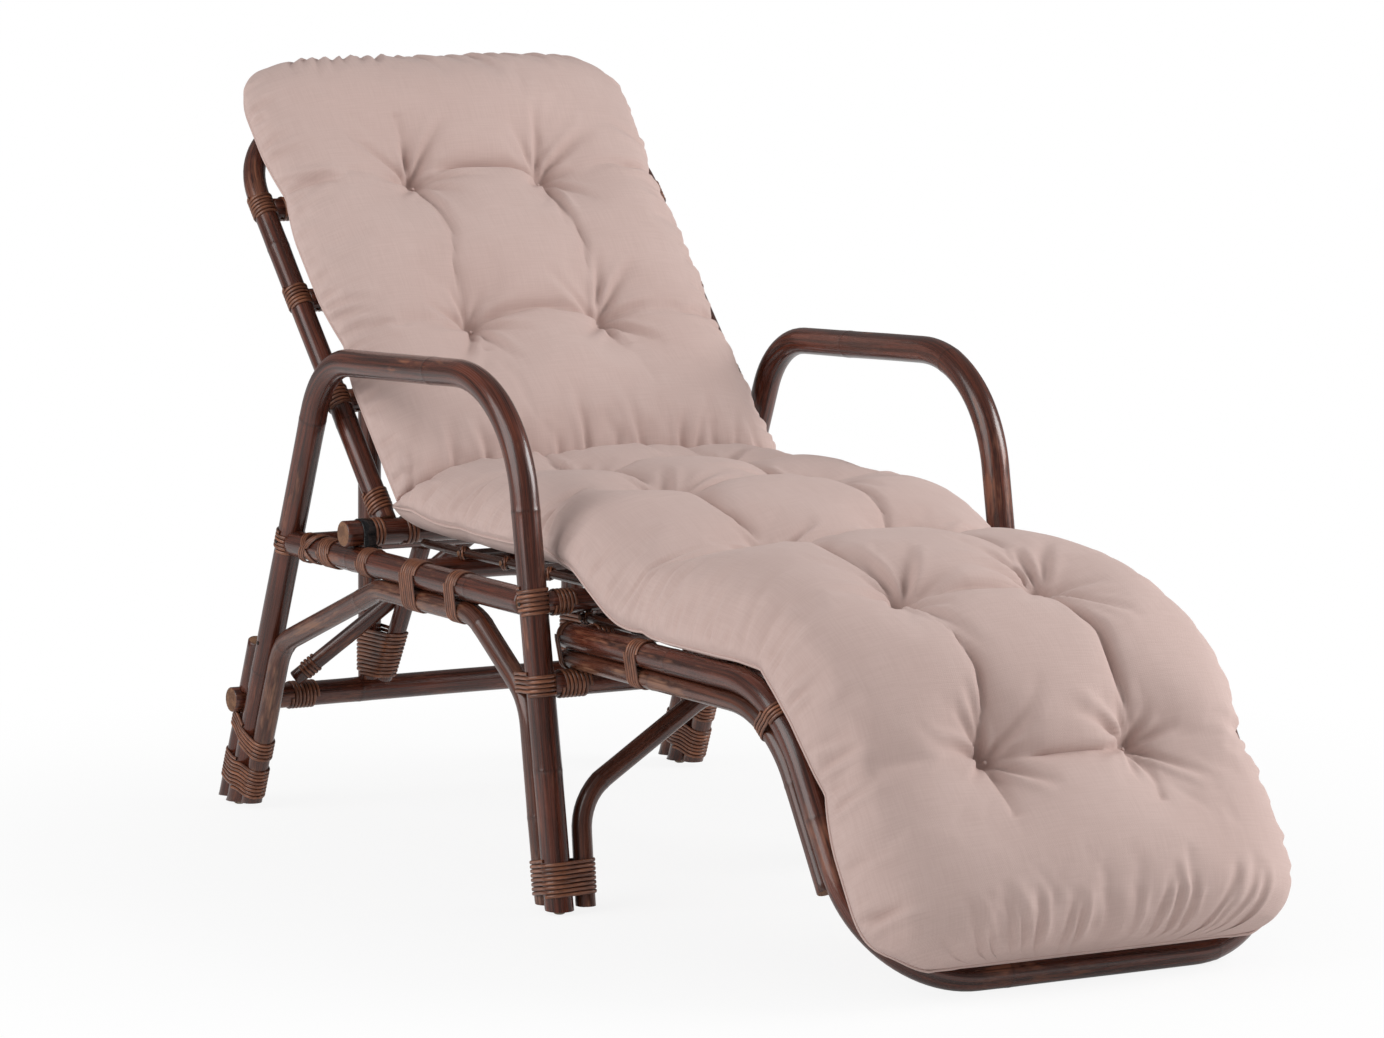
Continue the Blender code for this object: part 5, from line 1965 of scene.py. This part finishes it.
                    sink = sqrt(max(1 - abs(share) ** 6, 0)) * (0.25 + 0.75 * ends)
                    height = seam * (1 - sink)
                hang = min(max((-x - 0.228) / 0.026, 0), 1)
                height -= self.droop * low * hang * hang * (3 - 2 * hang)
                point = centre + normal * height + Vector((self.shift_x + x, 0, 0))
                shape.add(point, Vector((x, place + self.seed, 0)), 0.0)
                facts.append((share, place, top, normal))
        ring = 2 * count - 2
        shape.bridge(0, len(stations), ring)
        for base, turned in ((0, True), ((len(stations) - 1) * ring, False)):
            for number in range(count - 1):
                a, b = base + number, base + number + 1
                c, d = base + (ring - number - 1) % ring, base + (ring - number) % ring
                corners = list(dict.fromkeys((a, b, c, d)))
                shape.face(corners[::-1] if turned else corners)
        return shape, facts

    def swell(self, shape: Shape, facts: Sequence[tuple[float, float, bool, Vector]]) -> None:
        """Fills the crown with air as cloth held at its seams and tufts, then keeps it.

        Args:
            shape: the pad as laid.
            facts: what lay gives for each of its points.
        """
        mesh = shape.mesh("pad_cloth", Matrix())
        cloth = placed("pad_cloth", mesh)
        pins = []
        for number, (share, place, top, _) in enumerate(facts):
            x = share * self.half_width
            tuft = min(hypot(abs(x) - self.tuft_x, place - row) for row in self.rows)
            shut = place < 0.004 or place > self.length - 0.006
            if not top or abs(share) > 0.992 or tuft < 0.008 or shut:
                pins.append(number)
        group = cloth.vertex_groups.new(name="held")
        group.add(pins, 1.0, "REPLACE")
        modifier = cloth.modifiers.new("cloth", "CLOTH")
        settings = modifier.settings
        settings.quality = 5
        settings.mass = 0.12
        settings.tension_stiffness = settings.compression_stiffness = 12
        settings.shear_stiffness = 4
        settings.bending_stiffness = 0.08
        settings.shrink_min = -0.025
        settings.use_pressure = True
        settings.uniform_pressure_force = 4
        settings.effector_weights.gravity = 0
        settings.vertex_group_mass = "held"
        modifier.collision_settings.use_collision = False
        modifier.point_cache.frame_start, modifier.point_cache.frame_end = 1, self.frames
        scene = bpy.context.scene
        for number in range(1, self.frames + 1):
            scene.frame_set(number)
        evaluated = cloth.evaluated_get(bpy.context.evaluated_depsgraph_get())
        moved = [v.co.copy() for v in evaluated.to_mesh().vertices]
        evaluated.to_mesh_clear()
        scene.frame_set(1)
        bpy.data.objects.remove(cloth)
        bpy.data.meshes.remove(mesh)
        for number, point in enumerate(moved):
            step = point - shape.points[number]
            if step.length > self.cap_move:
                step *= self.cap_move / step.length
            if facts[number][2]:
                shape.points[number] = shape.points[number] + step

    def pucker(self, mesh: bpy.types.Mesh) -> None:
        """Presses the sharp folds into the finished crown and marks their depth for painted shade.

        Args:
            mesh: the pad's smooth mesh.
        """
        count = len(mesh.vertices)

        def read(name: str, wide: int = 1) -> np.ndarray:
            """One attribute of every point.

            Args:
                name: the attribute's name.
                wide: how many numbers each point has.

            Returns:
                The numbers.
            """
            values = np.empty(count * wide, np.float32)
            mesh.attributes[name].data.foreach_get("vector" if wide == 3 else "value", values)
            return (values.reshape(-1, 3) if wide == 3 else values).astype(float)

        share, place, top, normal = read("share"), read("place"), read("top"), read("lift", 3)
        x = share * self.half_width
        crown = np.sqrt(np.clip(1 - np.abs(share) ** 9, 0, 1)) * np.clip(top, 0, 1)
        deep = self.creases(x, place) * crown
        spots = np.empty(count * 3, np.float32)
        mesh.vertices.foreach_get("co", spots)
        spots = spots.reshape(-1, 3) - normal * deep[:, None]
        edge = np.clip((np.abs(share) - 0.85) / 0.12, 0, 1)
        spots[:, 0] -= np.sign(share) * deep * edge * 0.8
        mesh.vertices.foreach_set("co", spots.astype(np.float32).ravel())
        # Fold depth as a mask for painted shade in the canvas finish.
        crease_shade = np.clip(deep / 0.010, 0, 1).astype(np.float32)
        mesh.attributes["knuckle"].data.foreach_set("value", crease_shade)
        for name in ("share", "place", "top", "lift"):
            mesh.attributes.remove(mesh.attributes[name])
        mesh.update()

    def piping(self, shape: Shape, count: int, rows: int) -> None:
        """The piped seam along both sides and round the sewn end.

        Args:
            shape: the pad as laid.
            count: points across the crown.
            rows: stations along the pad.
        """
        ring = 2 * count - 2
        sides = [[shape.points[k * ring + at] for k in range(rows)] for at in (0, count - 1)]
        last = (rows - 1) * ring
        end = [
            (shape.points[last + k] + shape.points[last + (ring - k) % ring]) / 2
            for k in range(3, count - 3, 2)
        ]
        path = [*sides[0][:-1], *end, *sides[1][-2::-1]]
        welt = Shape()
        run = lengths(path)
        across = UP
        middle = sum(path, Vector()) / len(path)
        wide, corners = self.piping_r, 8
        total = int(run[-1] / 0.004)
        for number in range(total + 1):
            spot = run[-1] * number / total
            centre = at_length(path, run, spot)
            tangent = at_length(path, run, min(spot + 0.006, run[-1]))
            tangent = (tangent - at_length(path, run, max(spot - 0.006, 0))).normalized()
            outward = centre - middle
            outward = Vector((outward.x, 0, 0)) - tangent * tangent.x * outward.x
            if outward.length > 1e-6:
                centre = centre + outward.normalized() * 0.0010
            across = (across - tangent * across.dot(tangent)).normalized()
            upward = tangent.cross(across)
            for corner in range(corners):
                angle = 2 * pi * corner / corners
                arm = (across * cos(angle) + upward * sin(angle)) * wide
                welt.add(centre + arm, Vector((angle * wide, spot, 0)))
        welt.tube(0, total + 1, corners)
        self.follow(welt.make(f"{self.name}_piping", (CANVAS,), self.place))

    def buttons(self, shape: Shape, facts: Sequence[tuple[float, float, bool, Vector]]) -> None:
        """Small covered buttons at the bottom of the tufts.

        Args:
            shape: the pad as laid.
            facts: what lay gives for each of its points.
        """
        made = Shape()
        for row in self.rows:
            for sign in (-1, 1):
                near = min(
                    (n for n, f in enumerate(facts) if f[2]),
                    key=lambda n: hypot(
                        facts[n][0] * self.half_width - sign * self.tuft_x, facts[n][1] - row
                    ),
                )
                normal = facts[near][3]
                across = ACROSS
                upward = normal.cross(across)
                first, sides = len(made.points), 16
                profile = ((1.0, -0.5), (1.0, 0.0), (0.86, 0.24), (0.55, 0.40), (0.2, 0.46))
                for wide, high in profile:
                    for side in range(sides):
                        angle = 2 * pi * side / sides
                        arm = (across * cos(angle) + upward * sin(angle)) * wide + normal * high
                        spot = shape.points[near] + normal * 0.0002 + arm * self.button_r
                        made.add(spot, Vector((arm.x, arm.y + arm.z, 0)) * self.button_r)
                made.tube(first, len(profile), sides)
        self.follow(made.make(f"{self.name}_buttons", (CANVAS,), self.place))

    def follow(self, piece: bpy.types.Object) -> None:
        """Bakes the placement of a piece of the pad into its points and reports it.

        Args:
            piece: the piece.
        """
        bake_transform(piece)
        LOG.info("%s: %d faces", piece.name, len(piece.data.polygons))

    def build(self) -> None:
        """Builds the pad, its piping and its buttons."""
        shape, facts = self.lay()
        self.swell(shape, facts)
        self.buttons(shape, facts)
        self.piping(shape, self.across_count, len(self.stations()))
        piece = shape.make("pad_cage", (CANVAS,), self.place)
        turned = self.place.to_3x3()
        for name, values in (
            ("share", [f[0] for f in facts]), ("place", [f[1] for f in facts]),
            ("top", [float(f[2] or abs(f[0]) > 0.99) for f in facts]),
        ):
            piece.data.attributes.new(name, "FLOAT", "POINT").data.foreach_set("value", values)
        lift = piece.data.attributes.new("lift", "FLOAT_VECTOR", "POINT")
        lift.data.foreach_set("vector", [c for f in facts for c in turned @ f[3]])
        smooth = piece.modifiers.new("smooth", "SUBSURF")
        smooth.levels = smooth.render_levels = 1
        evaluated = piece.evaluated_get(bpy.context.evaluated_depsgraph_get())
        mesh = bpy.data.meshes.new_from_object(evaluated)
        bpy.data.objects.remove(piece)
        mesh.name = self.name
        self.pucker(mesh)
        pad = placed(self.name, mesh)
        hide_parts(*self.nodes)
        self.follow(pad)


@dataclass
class PadSet:
    """Both pieces of the pad: the back's, and the one over seat and footrest."""

    back_thick: float = 0.080
    seat_thick: float = 0.098
    crease_at: float = 0.020
    back_ends: Point = (0.010, 0.658)
    back_rows: Point = (0.235, 0.455)
    seat_rows: Point = (0.145, 0.330)
    leg_rows: tuple[float, ...] = (0.150, 0.392, 0.567)
    leg_length: float = 0.775
    drop: float = 0.120
    drop_bend: float = 0.200

    def back(self) -> Pad:
        """The back's piece, in the back's own place.

        Returns:
            The piece, not built yet.
        """
        rise = BACK_R + 2 * SLAT_R + 2 * GAP
        start, end = self.back_ends
        route = [Vector((0, start, rise)), Vector((0, end, rise))]
        rows = tuple(row - start for row in self.back_rows)
        bend = (TO_BACK @ Vector((0, 0.005, 0.05)), TO_BACK @ Vector((0, 0.150, 0.05)))
        return Pad(
            "tufted_back_pad", ("back_cushion",), route, end - start, rows, (False, True),
            lambda place: self.back_thick, 1, TO_BACK, (Body.BASE, Body.BACK), bend, 3, column=0.4,
        )

    def seat(self) -> Pad:
        """The piece over the seat, down on to the footrest and round its knee.

        Returns:
            The piece, not built yet.
        """
        base_z = RAIL_Z + CROSSBAR_R + 2 * GAP + 2 * SLAT_R
        crease_rise = BACK_R + GAP + 2 * SLAT_R
        crease = TO_BACK @ Vector((0, self.crease_at - GAP, crease_rise))
        start_y = crease.y - SHIFT - 0.014
        seat_end = FRONT_BAR_Y - CROSSBAR_R - 2 * GAP
        foot = Footrest()
        rise = foot.bar_r + GAP + 2 * SLAT_R + GAP
        raised = offset_route(foot.line, rise)
        corners = [
            (start_y, base_z), (seat_end - GAP, base_z),
            (seat_end - GAP - self.drop, raised[0][1]), *raised[1:],
        ]
        bends = (self.drop_bend, self.drop_bend, foot.knee_bend + rise)
        leg = rounded([side_point(0, p) for p in corners[1:]], bends[1:])
        route = [side_point(0, corners[0]), *leg]
        seat_length = start_y - seat_end

        def thick_at(place: float) -> float:
            """Full height of the pad, held under the back's piece at the crease.

            Args:
                place: distance along the pad.

            Returns:
                The height.
            """
            under = self.crease_at - 3 * GAP - (start_y - place - HINGE_Y) * cos(RECLINE)
            crease_z = HINGE_Z + under / sin(RECLINE) - base_z
            full = 0.012 * max(1 - place / 0.10, 0)
            return min(self.seat_thick, crease_z + full) if place < 0.12 else self.seat_thick

        rows = (*self.seat_rows, *(seat_length + GAP + row for row in self.leg_rows))
        bend = (Vector((0, -0.05 + SHIFT, 0.4)), Vector((0, -0.45 + SHIFT, 0.4)))
        return Pad(
            "tufted_seat_pad", ("seat_cushion", "leg_cushion"), route,
            seat_length + GAP + self.leg_length, rows, (False, True), thick_at, -1, TO_FRAME,
            (Body.BASE, Body.FOOTREST), bend, 11, crease_lift=0.020, tuck=0.14,
            droop=0.015,
        )

    def build(self) -> None:
        """Builds both pieces."""
        self.back().build()
        self.seat().build()


# Studio


@dataclass
class Studio:
    """Pale floor, soft lamps and the camera at the photograph's angle."""

    lens: float = 145.5
    azimuth: float = radians(-30.907)
    elevation: float = radians(7.155)
    roll: float = radians(0.402)
    eye: tuple[float, float, float] = (-3.272, -5.550, 1.189)
    near_lamp: tuple[float, float, float] = (-2.9, 0.0, 1.75)
    near_size: float = 2.6
    near_power: float = 58.0
    far_lamp: tuple[float, float, float] = (2.51, -1.45, 1.75)
    far_size: float = 1.7
    far_power: float = 79.0
    sky: float = 0.39
    shine: float = 0.20

    def camera(self) -> None:
        """Camera that takes in the whole lounger as the photograph does."""
        data = bpy.data.cameras.new("camera")
        data.lens, data.sensor_width, data.sensor_fit = self.lens, 36.0, "HORIZONTAL"
        back = Vector((
            sin(self.azimuth) * cos(self.elevation),
            -cos(self.azimuth) * cos(self.elevation),
            sin(self.elevation),
        ))
        right = (-back).cross(UP).normalized()
        up = right.cross(-back)
        turned = right * cos(self.roll) + up * sin(self.roll)
        upward = up * cos(self.roll) - right * sin(self.roll)
        matrix = Matrix((turned, upward, back)).transposed().to_4x4()
        matrix.translation = Vector(self.eye) + Vector((0, SHIFT, 0))
        camera = placed("camera", data)
        camera.matrix_world = matrix
        bpy.context.scene.camera = camera

    def lamp(self, name: str, place: Sequence[float], size: float, power: float) -> None:
        """A square soft lamp that points at the middle of the lounger.

        Args:
            name: the lamp's name.
            place: where it hangs.
            size: length of its sides.
            power: its power in watts.
        """
        data = bpy.data.lights.new(name, "AREA")
        data.energy, data.size = power, size
        lamp = placed(name, data)
        lamp.location = place
        aim = Vector((0, 0, 0.4)) - Vector(place)
        lamp.rotation_euler = aim.to_track_quat("-Z", "Y").to_euler()

    def world(self) -> None:
        """Even sky light: white to the camera, and dim in a glossy reflection."""
        world = bpy.data.worlds.new("sky")
        world.use_nodes = True
        bpy.context.scene.world = world
        graph = Graph(world.node_tree)
        shader = world.node_tree.nodes["Background"]
        path = graph.add("ShaderNodeLightPath").outputs
        seen = graph.math("MAXIMUM", path["Is Camera Ray"], path["Is Transmission Ray"])
        other = graph.math("SUBTRACT", 1.0, path["Is Glossy Ray"])
        gloss = graph.times(self.shine, path["Is Glossy Ray"])
        dim = graph.plus(gloss, graph.times(self.sky, other))
        strength = graph.math("MAXIMUM", seen, dim)
        shader.inputs["Color"].default_value = (1, 1, 1, 1)
        graph.put(shader.inputs["Strength"], strength)

    def floor(self) -> None:
        """A wide pale floor that keeps the lounger's shadow and fades to white."""
        half = 60.0
        corners = ((-half, -half), (half, -half), (half, half), (-half, half))
        mesh = bpy.data.meshes.new("floor")
        mesh.from_pydata([Vector((x, y, FLOOR_Z)) for x, y in corners], [], [(0, 1, 2, 3)])
        material, graph, shader = start_material("pale_floor")
        shader.inputs["Base Color"].default_value = (0.86, 0.86, 0.86, 1)
        shader.inputs["Roughness"].default_value = 0.9
        white = graph.add("ShaderNodeEmission", {"Color": (1, 1, 1, 1), "Strength": 1.0})
        place = graph.add("ShaderNodeNewGeometry").outputs["Position"]
        away = graph.add("ShaderNodeVectorMath", {0: place}, operation="LENGTH").outputs[1]
        far = graph.between(away, 0.4, 1.5)
        share = graph.plus(0.86, graph.times(far, 0.14))
        path = graph.add("ShaderNodeLightPath").outputs
        seen = graph.math("MAXIMUM", path["Is Camera Ray"], path["Is Transmission Ray"])
        seen = graph.math("MAXIMUM", seen, graph.times(self.shine, path["Is Glossy Ray"]))
        mixed = graph.add("ShaderNodeMixShader", {0: graph.times(share, seen)})
        graph.put(mixed.inputs[1], shader.outputs[0])
        graph.put(mixed.inputs[2], white.outputs[0])
        graph.put(material.node_tree.nodes["Material Output"].inputs[0], mixed.outputs[0])
        mesh.materials.append(material)
        placed("floor", mesh)

    def build(self) -> None:
        """Builds camera, lamps, sky and floor."""
        self.camera()
        self.lamp("near_lamp", self.near_lamp, self.near_size, self.near_power)
        self.lamp("far_lamp", self.far_lamp, self.far_size, self.far_power)
        self.world()
        self.floor()
        bpy.context.scene.view_settings.view_transform = "Standard"


def main() -> None:
    """Builds the studio and every sub-assembly in order."""
    logging.basicConfig(level=logging.INFO, format="%(message)s")
    Studio().build()
    for side in SIDES:
        SideFrame(side).build()
    CrossFrame().build()
    front = FRONT_BAR_Y - CROSSBAR_R
    height = RAIL_Z + CROSSBAR_R + GAP + SLAT_R
    step = (SLATS_REAR_Y - front) / 4
    line = [Vector((0, front, height)), Vector((0, SLATS_REAR_Y, height))]
    Deck("seat_slats", Body.BASE, line, [(front + k * step, height) for k in (1, 2, 3)]).build()
    Back().build()
    Footrest().build()
    PadSet().build()


if __name__ == "__main__":
    main()
